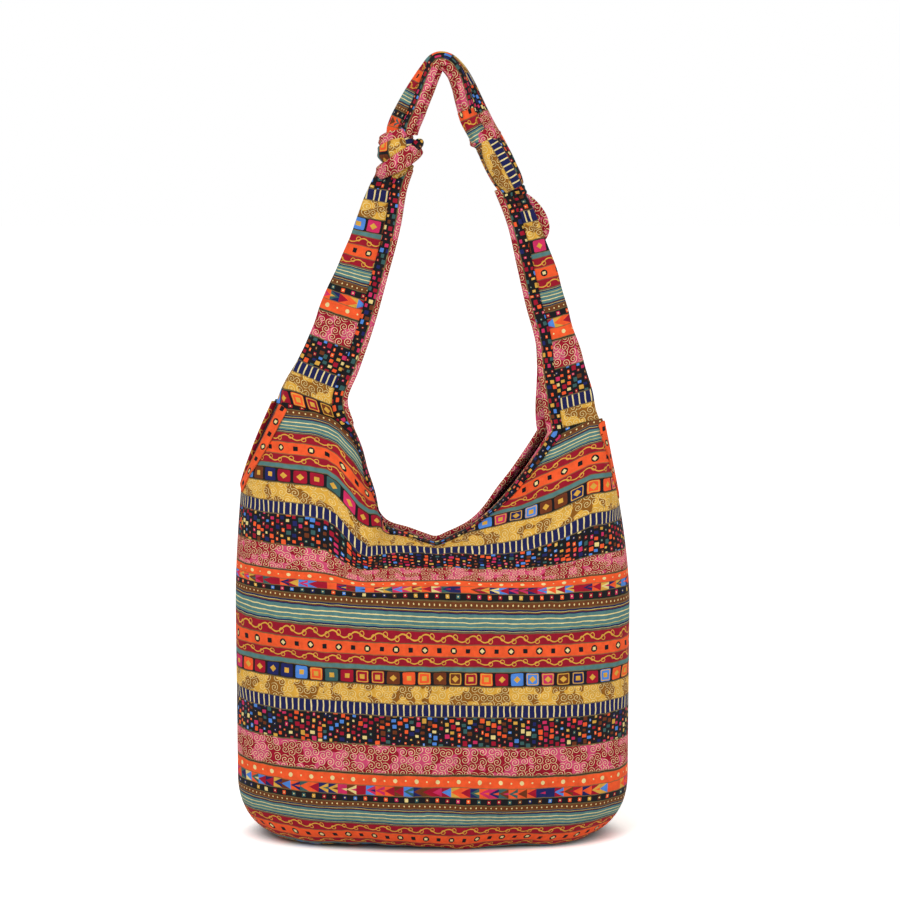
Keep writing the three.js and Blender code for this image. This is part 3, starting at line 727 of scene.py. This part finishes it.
TOP = TopEdge()
XI_LEFT_OUTER, XI_LEFT_INNER, XI_RIGHT_INNER, XI_RIGHT_OUTER = TOP.corners[:4]


def pillow(xi):
    return (1 - np.abs(xi) ** PILLOW_POWER) ** (1 / PILLOW_POWER)


def edge_depth(xi):
    return GAP / 2 + NECK_HALF_GAP * (1 - np.abs(xi) ** 16)


def panel_places(side, xi, way):
    """Where a panel's cloth lies. way runs up it: base 0-1, boxed corner 1-2, wall 2-3, lean to the top 3-4.

    xi runs from the left side seam (-1) to the right one (1), and side is -1 in front and 1 at the back.
    """
    floor = CLOTH / 2
    depth = pillow(xi)
    end_x, end_z = TOP.at(xi)

    base = np.clip(way, 0, 1)
    turn = np.clip(way - 1, 0, 1) * math.pi / 2
    wall = np.clip(way - 2, 0, 1)
    tilt = np.clip(way - 3, 0, 1) * math.pi / 2

    lean = NECK_LEAN + LEAN_GROWTH * np.maximum(0, end_z - NECK_HEIGHT)
    start = np.maximum(CORNER_HEIGHT + 30, end_z - lean)
    outward = np.sin(turn)
    x = xi * lerp(BASE_HALF_WIDTH, BODY_HALF_WIDTH, outward)
    y = depth * np.where(way < 1, base * BASE_HALF_DEPTH, lerp(BASE_HALF_DEPTH, BODY_HALF_DEPTH, outward))
    z = floor + (CORNER_HEIGHT - floor) * (1 - np.cos(turn)) + (start - CORNER_HEIGHT) * wall

    sideways = smooth((np.abs(xi) - 0.15) / 0.45)
    rise = np.sin(tilt) ** (2 / lerp(1.5, 2, sideways))
    fall = np.cos(tilt) ** (2 / lerp(1.5, 1, sideways))
    shift = BACK_SHIFT * smooth((end_z - 300) / 45) * (1 - np.abs(xi) ** 8) if side > 0 else 0
    leaning = way > 3
    x = np.where(leaning, lerp(xi * BODY_HALF_WIDTH, end_x + shift, rise**1.6), x)
    z = np.where(leaning, lerp(start, end_z, rise), z)
    edge = edge_depth(xi)
    y = np.where(leaning, lerp(edge, np.maximum(edge, BODY_HALF_DEPTH * depth), fall), y)
    return np.stack([x, side * np.maximum(GAP / 2, y), z], -1)


def side_runs():
    """Distance along the cloth from the middle to each xi at the widest height."""
    bend = np.sin(np.linspace(0, math.pi / 2, 2000))
    xi = np.concatenate([-bend[:0:-1], bend])
    girth = np.stack([xi * BODY_HALF_WIDTH, pillow(np.clip(xi, -1, 1)) * BODY_HALF_DEPTH, 0 * xi], -1)
    runs = runs_of(girth)
    return xi, runs - runs[-1] / 2


GIRTH_XI, GIRTH_RUN = side_runs()
COLUMN_RUN = np.linspace(GIRTH_RUN[0], GIRTH_RUN[-1], PANEL_COLUMNS + 1)
COLUMN_XI = np.interp(COLUMN_RUN, GIRTH_RUN, GIRTH_XI)


def panel_ways():
    ways = [np.linspace(way, way + 1, count, endpoint=False) for way, count in WAY_ROWS]
    return np.concatenate([*ways, [4]])


def cloth_noise(places, scale, seed):
    flat = places.reshape(-1, 3)
    values = [noise.noise(Vector(p) / scale + Vector((seed, seed * 0.7, 0))) for p in flat]
    return np.array(values).reshape(places.shape[:2])


# Soft folds: start x and height, run in x and height, width and height of the ridge
FOLDS = [
    (-44, 322, -62, -58, 8, 5.2), (-62, 300, -50, -56, 6, -3), (60, 318, 70, -22, 9, 3.8),
    (2, 280, 60, -36, 10, 3), (-104, 402, 8, -34, 3.6, -2.6), (150, 398, 2, -44, 3.6, -2.6),
    (-60, 250, 170, 6, 9, 2.4), (-150, 70, 60, 26, 9, 2.6), (160, 60, -50, 34, 9, 2.6),
]


def fold_height(x, z):
    total = 0
    for from_x, from_z, run_x, run_z, width, ridge in FOLDS:
        length = math.hypot(run_x, run_z)
        along = ((x - from_x) * run_x + (z - from_z) * run_z) / length
        across = ((x - from_x) * run_z - (z - from_z) * run_x) / length
        fade = smooth(along / (0.3 * length)) * smooth((length - along) / (0.6 * length))
        total = total + ridge * fade * np.exp(-((across / width) ** 2))
    return total


def grid_normals(places):
    down = np.gradient(places, axis=0)
    across = np.gradient(places, axis=1)
    normals = np.cross(across, down)
    return normals / np.maximum(np.linalg.norm(normals, axis=-1, keepdims=True), 1e-9)


def reference_height(xi):
    """Height of the top of one row of squares along the body."""
    return 180 - 5 * xi + 3 * xi**2


# Where the back panel is cut from the print, along and across the stripes
BACK_PRINT_SHIFT = (37, 61)

# Folds too small to place one by one: scale of the noise, and height
COARSE_CRUMPLE = (60, 3.2)
FINE_CRUMPLE = (22, 1.4)

# How far the front's stripes drop towards the neck: x, and drop
NECK_DROP = [
    (-190, 13), (-115, 14), (-100, 16), (-90, 22), (-80, 33), (-70, 45), (-61, 51), (-50, 47), (-35, 40),
    (0, 36), (20, 38), (45, 42), (67, 42), (80, 41), (94, 38), (115, 32), (150, 18), (190, 15),
]
DROP_FROM = 248
DROP_RUN = 45

# Below the neck the front's stripes are spread a little, over this height and by this much
SPREAD_FROM = 208
SPREAD_RUN = 48
SPREAD = 11


def stripe_drop(x, z):
    places, drops = zip(*NECK_DROP)
    dropped = np.interp(x, places, drops) * smooth((z - DROP_FROM) / DROP_RUN)
    return dropped - SPREAD * np.clip((z - SPREAD_FROM) / SPREAD_RUN, 0, 1)


def panel_cloth(side):
    """The panel's places, outward normals and print, as grids of rows from the base seam up."""
    xi_grid, way_grid = np.meshgrid(COLUMN_XI, panel_ways())
    places = panel_places(side, xi_grid, way_grid)
    steps = np.linalg.norm(np.diff(places, axis=0), axis=2)
    height = np.vstack([np.zeros(len(COLUMN_XI)), np.cumsum(steps, axis=0)])
    prints = np.zeros((*places.shape[:2], 2))
    above_base = WAY_ROWS[0][1] + 2
    for column, where in enumerate(COLUMN_XI):
        levels = places[above_base:, column, 2]
        zero = np.interp(reference_height(where), levels, height[above_base:, column])
        prints[:, column, 0] = COLUMN_RUN[column]
        prints[:, column, 1] = zero - height[:, column]
    if side < 0:
        prints[..., 1] -= stripe_drop(places[..., 0], places[..., 2])
    else:
        prints += BACK_PRINT_SHIFT

    normals = grid_normals(places)
    normals = normals * np.sign(normals[WALL_ROW, PANEL_COLUMNS // 2, 1] * side)
    away_from_top = height[-1] - height
    calm = smooth(height / 40) * smooth(away_from_top / 16) * smooth((1 - np.abs(xi_grid)) / 0.04)
    x, z = places[..., 0], places[..., 2]
    folds = fold_height(x, z) if side < 0 else 0
    (coarse, coarse_height), (fine, fine_height) = COARSE_CRUMPLE, FINE_CRUMPLE
    crumple = cloth_noise(places * (1, 1, 1.6), coarse, side) * coarse_height
    crumple = crumple + cloth_noise(places, fine, side + 5) * fine_height
    places = places + normals * ((folds + crumple) * calm)[..., None]
    return places, normals, prints


def make_panel(side, material):
    places, normals, prints = panel_cloth(side)
    sheet = cloth_grid(places, prints, (0, side, 0))
    tree = BVHTree.FromBMesh(sheet)
    name = "front_panel" if side < 0 else "back_panel"
    add_piece(name + "_cloth", thickened(sheet, CLOTH), material, "printed_cotton", name)
    return places, normals, prints, tree


def arm_places(outer, inner, t, s):
    """One arm: t runs up it, and s round it from the front inner edge by the outer fold to the back one."""
    on_outer, on_inner = follow(outer, t), follow(inner, t)
    half = lerp(ARM_HALF_DEPTH, ARM_TOP_HALF_DEPTH, smooth(t / 0.6))
    power = 3 + 6 * (1 - np.clip(t / 0.2, 0, 1)) ** 2
    angle = s * math.pi
    reach = np.maximum(0, np.sin(angle)) ** (2 / power)
    across = -np.sign(np.cos(angle)) * np.abs(np.cos(angle)) ** (2 / power)
    shared = lerp(1, 1 - reach, smooth(t / 0.25))
    shift = BACK_SHIFT * smooth((0.3 - t) / 0.3) * shared * (across + 1) / 2
    places = lerp(on_inner, on_outer, reach[..., None])
    tuck = -SEAM_TUCK * reach**8 * (1 - smooth(t / 0.1))
    return places + np.stack([shift, half * across, tuck + 0 * shift], -1)


def arm_cloth(outer_end, outer_points, inner_end, inner_points, first):
    """An arm's places and print. The stripes are counted up from the shoulder seam, starting at `first`."""
    lift = np.array([0, 0, SEAM_GAP])
    outer = smooth_line([outer_end, *raised(outer_points, outer_end[2])]) + lift
    inner = smooth_line([inner_end, *raised(inner_points, inner_end[2])]) + lift
    t = np.linspace(0, 1, ARM_ROWS + 1)
    fine = np.linspace(0, 1, 400)
    dense_s, dense_t = np.meshgrid(fine, t)
    dense = arm_places(outer, inner, dense_t, dense_s)
    places = np.stack([follow(row, np.linspace(0, 1, ARM_COLUMNS + 1)) for row in dense])
    length = (runs_of(outer)[-1] + runs_of(inner)[-1]) / 2
    prints = np.zeros((*places.shape[:2], 2))
    for row in range(ARM_ROWS + 1):
        prints[row, :, 0] = runs_of(places[row])
        prints[row, :, 1] = first + t[row] * length * ARM_PRINT_SCALE
    normals = grid_normals(places)
    s_grid = np.linspace(0, 1, ARM_COLUMNS + 1)[None, :]
    t_grid = t[:, None]
    gathered = smooth((t_grid - 0.55) / 0.45)
    pleats = np.sin(s_grid * 2 * math.pi * ARM_PLEATS + 0.6 * np.sin(t_grid * 9)) * PLEAT_HEIGHT * gathered
    crumple = cloth_noise(places * (1.6, 1, 1), 34, first) * PLEAT_HEIGHT
    calm = smooth(t_grid / 0.06) * smooth(s_grid / 0.12) * smooth((1 - s_grid) / 0.12)
    sign = np.sign(normals[ARM_ROWS // 2, 4, 1]) * -1
    return places + normals * sign * ((pleats + crumple) * calm)[..., None], prints


ARCH_STEPS = 24
ARCH_LINE = smooth_line(raised([(x, rise) for x, rise, _ in ARCH], STRAND_BASE), ARCH_STEPS)
ARCH_WIDTHS = [width for _, _, width in ARCH]
STRAND_GROOVES = (math.radians(236), math.radians(125))


def sideways_of(centres):
    """Unit vectors square to a line that lies in an upright plane, within that plane."""
    along = np.gradient(centres, axis=0)
    along /= np.linalg.norm(along, axis=1, keepdims=True)
    return np.stack([-along[:, 2], 0 * along[:, 0], along[:, 0]], -1)


def tube_cloth(centres, across, wide, deep, prints):
    """A closed sweep: wide and deep are its half sizes at each row and angle. Angle 0 is along `across`."""
    angle = full_turn(wide.shape[1])
    places = (
        centres[:, None, :]
        + across[:, None, :] * (wide * np.cos(angle))[..., None]
        + BACKWARDS * (deep * np.sin(angle))[..., None]
    )
    places[:, -1] = places[:, 0]
    return cloth_grid(places, prints, closed=True)


def strand_cloth(sign, first, last, paint_strand, groove=0.0, grow=1.0):
    """One gathered strand between two points of the arch, on its outer side (1) or its inner side (-1).

    paint_strand turns the angle round it and the run along it into a place on the print.
    """
    index = np.linspace(first, last, 130)
    marks = np.arange(len(ARCH_LINE)) / ARCH_STEPS
    centres = np.stack([np.interp(index, marks, ARCH_LINE[:, k]) for k in range(3)], -1)
    width = np.interp(index, np.arange(len(ARCH)), ARCH_WIDTHS)
    across = sideways_of(centres)
    sideways = np.maximum(0, width / 2 - STRAND_RADIUS)
    forwards = np.sqrt(np.maximum(0, STRAND_RADIUS**2 - sideways**2)) * STRAND_CLOSENESS
    centres = centres + sign * (across * sideways[:, None] + BACKWARDS * forwards[:, None])
    angle = full_turn(65)[None, :]
    t = index[:, None]
    gather = 1 + 0.05 * np.cos(3 * angle + sign + 0.5 * np.sin(t))
    gather = gather + 0.045 * np.cos(7 * angle - 1.4 * np.sin(0.8 * t))
    for middle in STRAND_GROOVES:
        gather = gather - groove * np.exp(-(((angle - middle - 0.12 * np.sin(0.9 * t)) / 0.16) ** 2))
    size = STRAND_RADIUS * grow * gather * np.ones_like(t)
    runs = runs_of(centres)[:, None]
    prints = pairs(*paint_strand(angle, runs))
    return tube_cloth(centres, across, size, size * 1.03, prints)


def knot_frame(knot):
    """The knot's middle, and the directions along the strap and across it."""
    tilt = math.radians(knot["tilt"])
    middle = np.array([knot["x"], 0, STRAND_BASE + knot["rise"]])
    along = np.array([-math.sin(tilt), 0, math.cos(tilt)])
    across = np.array([math.cos(tilt), 0, math.sin(tilt)])
    return middle, along, across


def wrap_cloth(knot, height, tip, width, size, first, crosswise=False, bulge=0.0):
    """One turn of cloth round a knot: a closed band whose plane is tipped, rising to the right by `tip`.

    The stripes run round the knot, or along it where crosswise is set. bulge swells the front.
    """
    middle, along, across = knot_frame(knot)
    angle = full_turn(145)[:, None]
    turn = full_turn(49)[None, :]
    outside = np.clip(np.cos(turn) + 0.3, 0, 1)
    pleat = 0.55 * np.sin(5 * turn + 3 * np.sin(angle + first)) * outside
    reach = -WRAP_HALF + (WRAP_HALF + pleat) * np.cos(turn)
    rise = (width / 2) * np.sin(turn) * (1 + 0.16 * np.sin(angle * 2 + first))
    swell = 1 + bulge * np.maximum(0, -np.sin(angle)) ** 2
    wide = knot["half_width"] * size + reach
    deep = knot["half_depth"] * size * swell + reach
    places = (
        middle
        + across * (np.cos(angle) * wide)[..., None]
        + BACKWARDS * (np.sin(angle) * deep)[..., None]
        + along * (height + tip * np.cos(angle) + rise)[..., None]
    )
    places[-1] = places[0]
    places[:, -1] = places[:, 0]
    round_run = (angle - math.pi) * knot["half_width"] * size + 0 * turn
    across_run = -rise
    prints = (across_run, first + round_run) if crosswise else (round_run, first + across_run)
    return cloth_grid(places, pairs(*prints), closed=True)


def sleeve_cloth(knot, top, bottom, size, first):
    """A stretch of strap pulled tight along a knot, its stripes running down it."""
    middle, along, across_line = knot_frame(knot)
    t = np.linspace(0, 1, 70)[:, None]
    centres = middle + along * lerp(top, bottom, t)
    across = np.repeat(across_line[None, :], len(t), axis=0)
    angle = full_turn(97)[None, :]
    ends = (1 - 0.24 * np.abs(2 * t - 1) ** 3) * (1 - 0.8 * smooth((t - 0.965) / 0.035))
    ends = ends * (1 - 0.6 * smooth((0.04 - t) / 0.04))
    folds = 1 + 0.035 * np.sin(3 * angle + 5 * t) + 0.03 * np.sin(9 * angle + 9 * t)
    shape = size * ends * folds
    slant = (angle - math.pi) * knot["half_width"] * 0.98 + 0 * t
    prints = pairs(t * abs(top - bottom), first + slant)
    return tube_cloth(centres, across, knot["half_width"] * shape, knot["half_depth"] * shape * 1.28, prints)


def tail_cloth(points, offset, half_width, half_thickness, first):
    """A rounded end of the strap, `offset` behind the knot's middle."""
    line = smooth_line(raised(points, STRAND_BASE, offset))
    t = np.linspace(0, 1, 48)
    centres = follow(line, t)
    across = sideways_of(centres)
    angle = full_turn(49)[None, :]
    round_end = np.sqrt(np.maximum(0.0, 1 - np.clip((t - 0.55) / 0.45, 0, 1) ** 2))[:, None]
    pleat = 1 + 0.09 * np.sin(6 * angle + 3 * t[:, None])
    wide = half_width * round_end * pleat * np.ones_like(angle)
    deep = half_thickness * np.sqrt(round_end) * pleat
    prints = pairs(runs_of(centres)[:, None], first + half_width * np.cos(angle))
    return tube_cloth(centres, across, wide, deep, prints)


def make_straps(material):
    left_places, left_prints = arm_cloth(LEFT_OUTER_END, LEFT_OUTER, LEFT_INNER_END, LEFT_INNER, 0)
    right_places, right_prints = arm_cloth(
        RIGHT_OUTER_END, RIGHT_OUTER, RIGHT_INNER_END, RIGHT_INNER, STARTS["gold curls"]
    )
    left_sheet = cloth_grid(left_places, left_prints, (-1, 0, 0))
    right_sheet = cloth_grid(right_places, right_prints, (1, 0, 0))
    trees = [BVHTree.FromBMesh(left_sheet), BVHTree.FromBMesh(right_sheet)]
    left = thickened(left_sheet, CLOTH)
    right = thickened(right_sheet, CLOTH)

    pink = STARTS["pink curls"]
    pink_middle = pink + 13

    def striped(angle, run):
        return angle * 16, STARTS["orange dots"] - 42 + run * 1.05

    def rolled(angle, run):
        return run, np.clip(pink + (math.radians(296) - angle) * 8.2, 50, pink_middle + 10)

    def turned(angle, run):
        return angle * 12, STARTS["rings"] + 8 - run

    merge(left, strand_cloth(1, first=0, last=14.3, paint_strand=striped))
    merge(right, strand_cloth(-1, first=2.7, last=12.1, paint_strand=rolled, groove=0.4))
    merge(right, strand_cloth(-1, first=11.5, last=14.2, paint_strand=turned, grow=1.04))

    for wrap in (
        dict(height=-14, tip=3, width=9, size=0.56, first=STARTS["gold curls"] + 8, bulge=0.25),
        dict(height=18, tip=1, width=14, size=0.72, first=pink_middle),
        dict(height=7, tip=1, width=19, size=0.84, first=-8, crosswise=True, bulge=0.16),
        dict(height=-4, tip=8, width=15.5, size=1.03, first=pink_middle, bulge=0.12),
    ):
        merge(right, wrap_cloth(LEFT_KNOT, **wrap))
    ear_start = STARTS["mosaic"] + 8
    merge(right, tail_cloth(EAR, offset=-10, half_width=4.5, half_thickness=3.5, first=ear_start))

    merge(left, sleeve_cloth(RIGHT_KNOT, top=25, bottom=-32, size=0.8, first=3))
    for wrap in (
        dict(height=25, tip=-1, width=13, size=0.86, first=pink_middle),
        dict(height=-31, tip=-4, width=13, size=0.6, first=STARTS["mosaic"] + 12),
    ):
        merge(left, wrap_cloth(RIGHT_KNOT, **wrap))
    merge(left, tail_cloth(TAIL, offset=11, half_width=8.5, half_thickness=4, first=pink_middle))
    add_piece("left_strap_cloth", left, material, "printed_cotton", "left_strap")
    add_piece("right_strap_cloth", right, material, "printed_cotton", "right_strap")
    return left_places, right_places, trees


def nearest(trees, point):
    found = [tree.find_nearest(Vector(point) * MM) for tree in trees]
    place, normal, _, _ = min(found, key=lambda hit: hit[3])
    return np.array(place) / MM, np.array(normal)


def edge_strip(path, trees, width, side, inside):
    """Cloth folded round a cut edge: rows along the path, columns from the outside round to the inside."""
    rows = []
    runs = runs_of(path)
    for number, point in enumerate(path):
        before = path[max(0, number - 1)]
        after = path[min(len(path) - 1, number + 1)]
        along = (after - before) / np.linalg.norm(after - before)
        _, normal = nearest(trees, point)
        beyond = np.cross(along, normal) * side
        beyond /= np.linalg.norm(beyond)
        section = []
        for share in np.linspace(1, 0, EDGE_COLUMNS):
            base, away = nearest(trees, point - beyond * width * share)
            section.append(base + away * OUTER_LEG)
        for angle in np.linspace(90, -90, 7)[1:-1]:
            radians = math.radians(angle)
            lift = lerp(-inside, OUTER_LEG, (math.sin(radians) + 1) / 2)
            section.append(point + normal * lift + beyond * BINDING_ROLL * math.cos(radians))
        for share in np.linspace(0, 1, EDGE_COLUMNS):
            base, away = nearest(trees, point - beyond * INSIDE_WIDTH * share)
            section.append(base - away * inside)
        rows.append(section)
    places = np.array(rows)
    return places, runs


def strip_bmesh(places, runs, start):
    """The strip as a closed solid, its print counted from `start` across it."""
    prints = np.zeros((*places.shape[:2], 2))
    for row in range(len(places)):
        prints[row, :, 0] = runs[row]
        prints[row, :, 1] = start + runs_of(places[row])
    ring = np.concatenate([places, places[:, :1]], axis=1)
    loops = np.concatenate([prints, prints[:, :1]], axis=1)
    bm = cloth_grid(ring, loops, closed=True)
    rims = [edge for edge in bm.edges if edge.is_boundary]
    bmesh.ops.holes_fill(bm, edges=rims, sides=0)
    bmesh.ops.recalc_face_normals(bm, faces=bm.faces)
    return bm


def make_binding(side, panel, arms, material):
    places, _, _, tree = panel
    left_arm, right_arm, arm_trees = arms
    column = 0 if side < 0 else -1
    neck = places[-1][(COLUMN_XI > XI_LEFT_INNER) & (COLUMN_XI < XI_RIGHT_INNER)]
    path = np.vstack([left_arm[::-1][:, column], neck, right_arm[:, column]])
    path = follow(path, np.linspace(0, 1, BINDING_STEPS))
    rows, runs = edge_strip(path, [tree, *arm_trees], BINDING_WIDTH, side, LINED_LEG)
    name = "front_binding" if side < 0 else "back_binding"
    bm = strip_bmesh(rows, runs, STARTS["pink curls"] - 10)
    add_piece(name + "_cloth", bm, material, "binding_cotton", name)


def make_band(left_side, front, back, material):
    chosen = COLUMN_XI < XI_LEFT_OUTER if left_side else COLUMN_XI > XI_RIGHT_OUTER
    trimmed = (0, 0.97) if left_side else (0.04, 1)
    band = bmesh.new()
    for side, panel in ((-1, front), (1, back)):
        places, _, _, tree = panel
        path = follow(places[-1][chosen], np.linspace(*trimmed, BAND_STEPS))
        rows, runs = edge_strip(path, [tree], BAND_WIDTH, side, OUTER_LEG)
        merge(band, strip_bmesh(rows, runs, STARTS["rings"]))
    name = "left_pocket_band" if left_side else "right_pocket_band"
    add_piece(name + "_cloth", band, material, "band_cotton", name)


def make_lining(front, back, material):
    """The inner sack: both panels between the pocket mouths, moved in, with a wall at each side."""
    chosen = (COLUMN_XI > XI_LEFT_OUTER + 0.1) & (COLUMN_XI < XI_RIGHT_OUTER - 0.1)
    faces = []
    for panel in (front, back):
        places, normals = panel[0][:, chosen], panel[1][:, chosen]
        faces.append((places - normals * LINING_INSET)[::2, ::2])
    near, far = faces

    def wall(a, b, sign):
        low = smooth((230 - a[..., 2]) / 60) * smooth((a[..., 2] - 8) / 40)
        apart = smooth(np.abs(a[..., 1] - b[..., 1]) / 40)
        made = []
        for t in np.linspace(0, 1, 9)[1:-1]:
            bulge = sign * (6 + 30 * low) * apart * (1 - (2 * t - 1) ** 2)
            made.append(lerp(a, b, t) + np.stack([bulge, 0 * bulge, 0 * bulge], -1))
        return made

    columns = [near[:, k] for k in range(near.shape[1])]
    columns += wall(near[:, -1], far[:, -1], 1)
    columns += [far[:, k] for k in range(far.shape[1] - 1, -1, -1)]
    columns += wall(far[:, 0], near[:, 0], -1)
    columns.append(near[:, 0])
    places = np.stack(columns, 1)
    bm = cloth_grid(places, np.zeros((*places.shape[:2], 2)), (0, 0, -1))
    add_piece("lining_cloth", thickened(bm, LINING_CLOTH), material, "lining_cloth", "lining")


def make_pouch(left_side, material):
    """A pocket bag: its mouth follows the slanted opening, and it hangs inside the bag's side."""
    tip, end = (LEFT_TIP, LEFT_OUTER_END) if left_side else (RIGHT_TIP, RIGHT_OUTER_END)
    xi_end = XI_LEFT_OUTER if left_side else XI_RIGHT_OUTER
    sign = -1 if left_side else 1
    angle = full_turn(49)
    share = MOUTH_MIDDLE - MOUTH_REACH * np.cos(angle)
    xi = lerp(sign, xi_end, share)
    half = np.maximum(0.8, edge_depth(xi) - OUTER_LEG - 0.4)
    shift = BACK_SHIFT * (1 - np.abs(xi) ** 8) * (np.sin(angle) + 1) / 2
    edge = lerp(tip, end, share[:, None])
    mouth = np.stack([edge[:, 0] - sign * 1.5 + shift, half * np.sin(angle), edge[:, 2] - 1], -1)
    middle = lerp(tip[0], end[0], 0.5) - sign * 8
    bottom = tip[2] - POUCH_DEPTH
    rings = [mouth]
    for t in np.linspace(0.04, 1, 25):
        full = math.sqrt(max(0.0, 1 - max(0.0, (t - 0.5) / 0.5) ** 2))
        grown = smooth(t / 0.5)
        goal = np.stack([
            middle + sign * POUCH_HALF_THICKNESS * full * np.cos(angle),
            POUCH_HALF_LENGTH * full * np.sin(angle),
            np.full_like(angle, lerp(tip[2], bottom, t)),
        ], -1)
        hung = mouth - np.array([0, 0, 60 * t])
        rings.append(lerp(hung, goal, grown))
    places = np.stack(rings)
    bm = cloth_grid(places, np.zeros((*places.shape[:2], 2)), (sign, 0, 0))
    name = "left_pocket_pouch" if left_side else "right_pocket_pouch"
    add_piece(name + "_cloth", thickened(bm, LINING_CLOTH), material, "lining_cloth", name)


bpy.context.scene.view_settings.view_transform = "Standard"
add_camera()
add_studio()

printed = make_print("printed_cotton")
bound = make_print("binding_cotton")
banded = make_print("band_cotton")
lined = make_plain("lining_cloth", "211F27", 0.9)

front_panel = make_panel(-1, printed)
back_panel = make_panel(1, printed)
strap_arms = make_straps(printed)
make_binding(-1, front_panel, strap_arms, bound)
make_binding(1, back_panel, strap_arms, bound)
make_band(True, front_panel, back_panel, banded)
make_band(False, front_panel, back_panel, banded)
make_lining(front_panel, back_panel, lined)
make_pouch(True, lined)
make_pouch(False, lined)
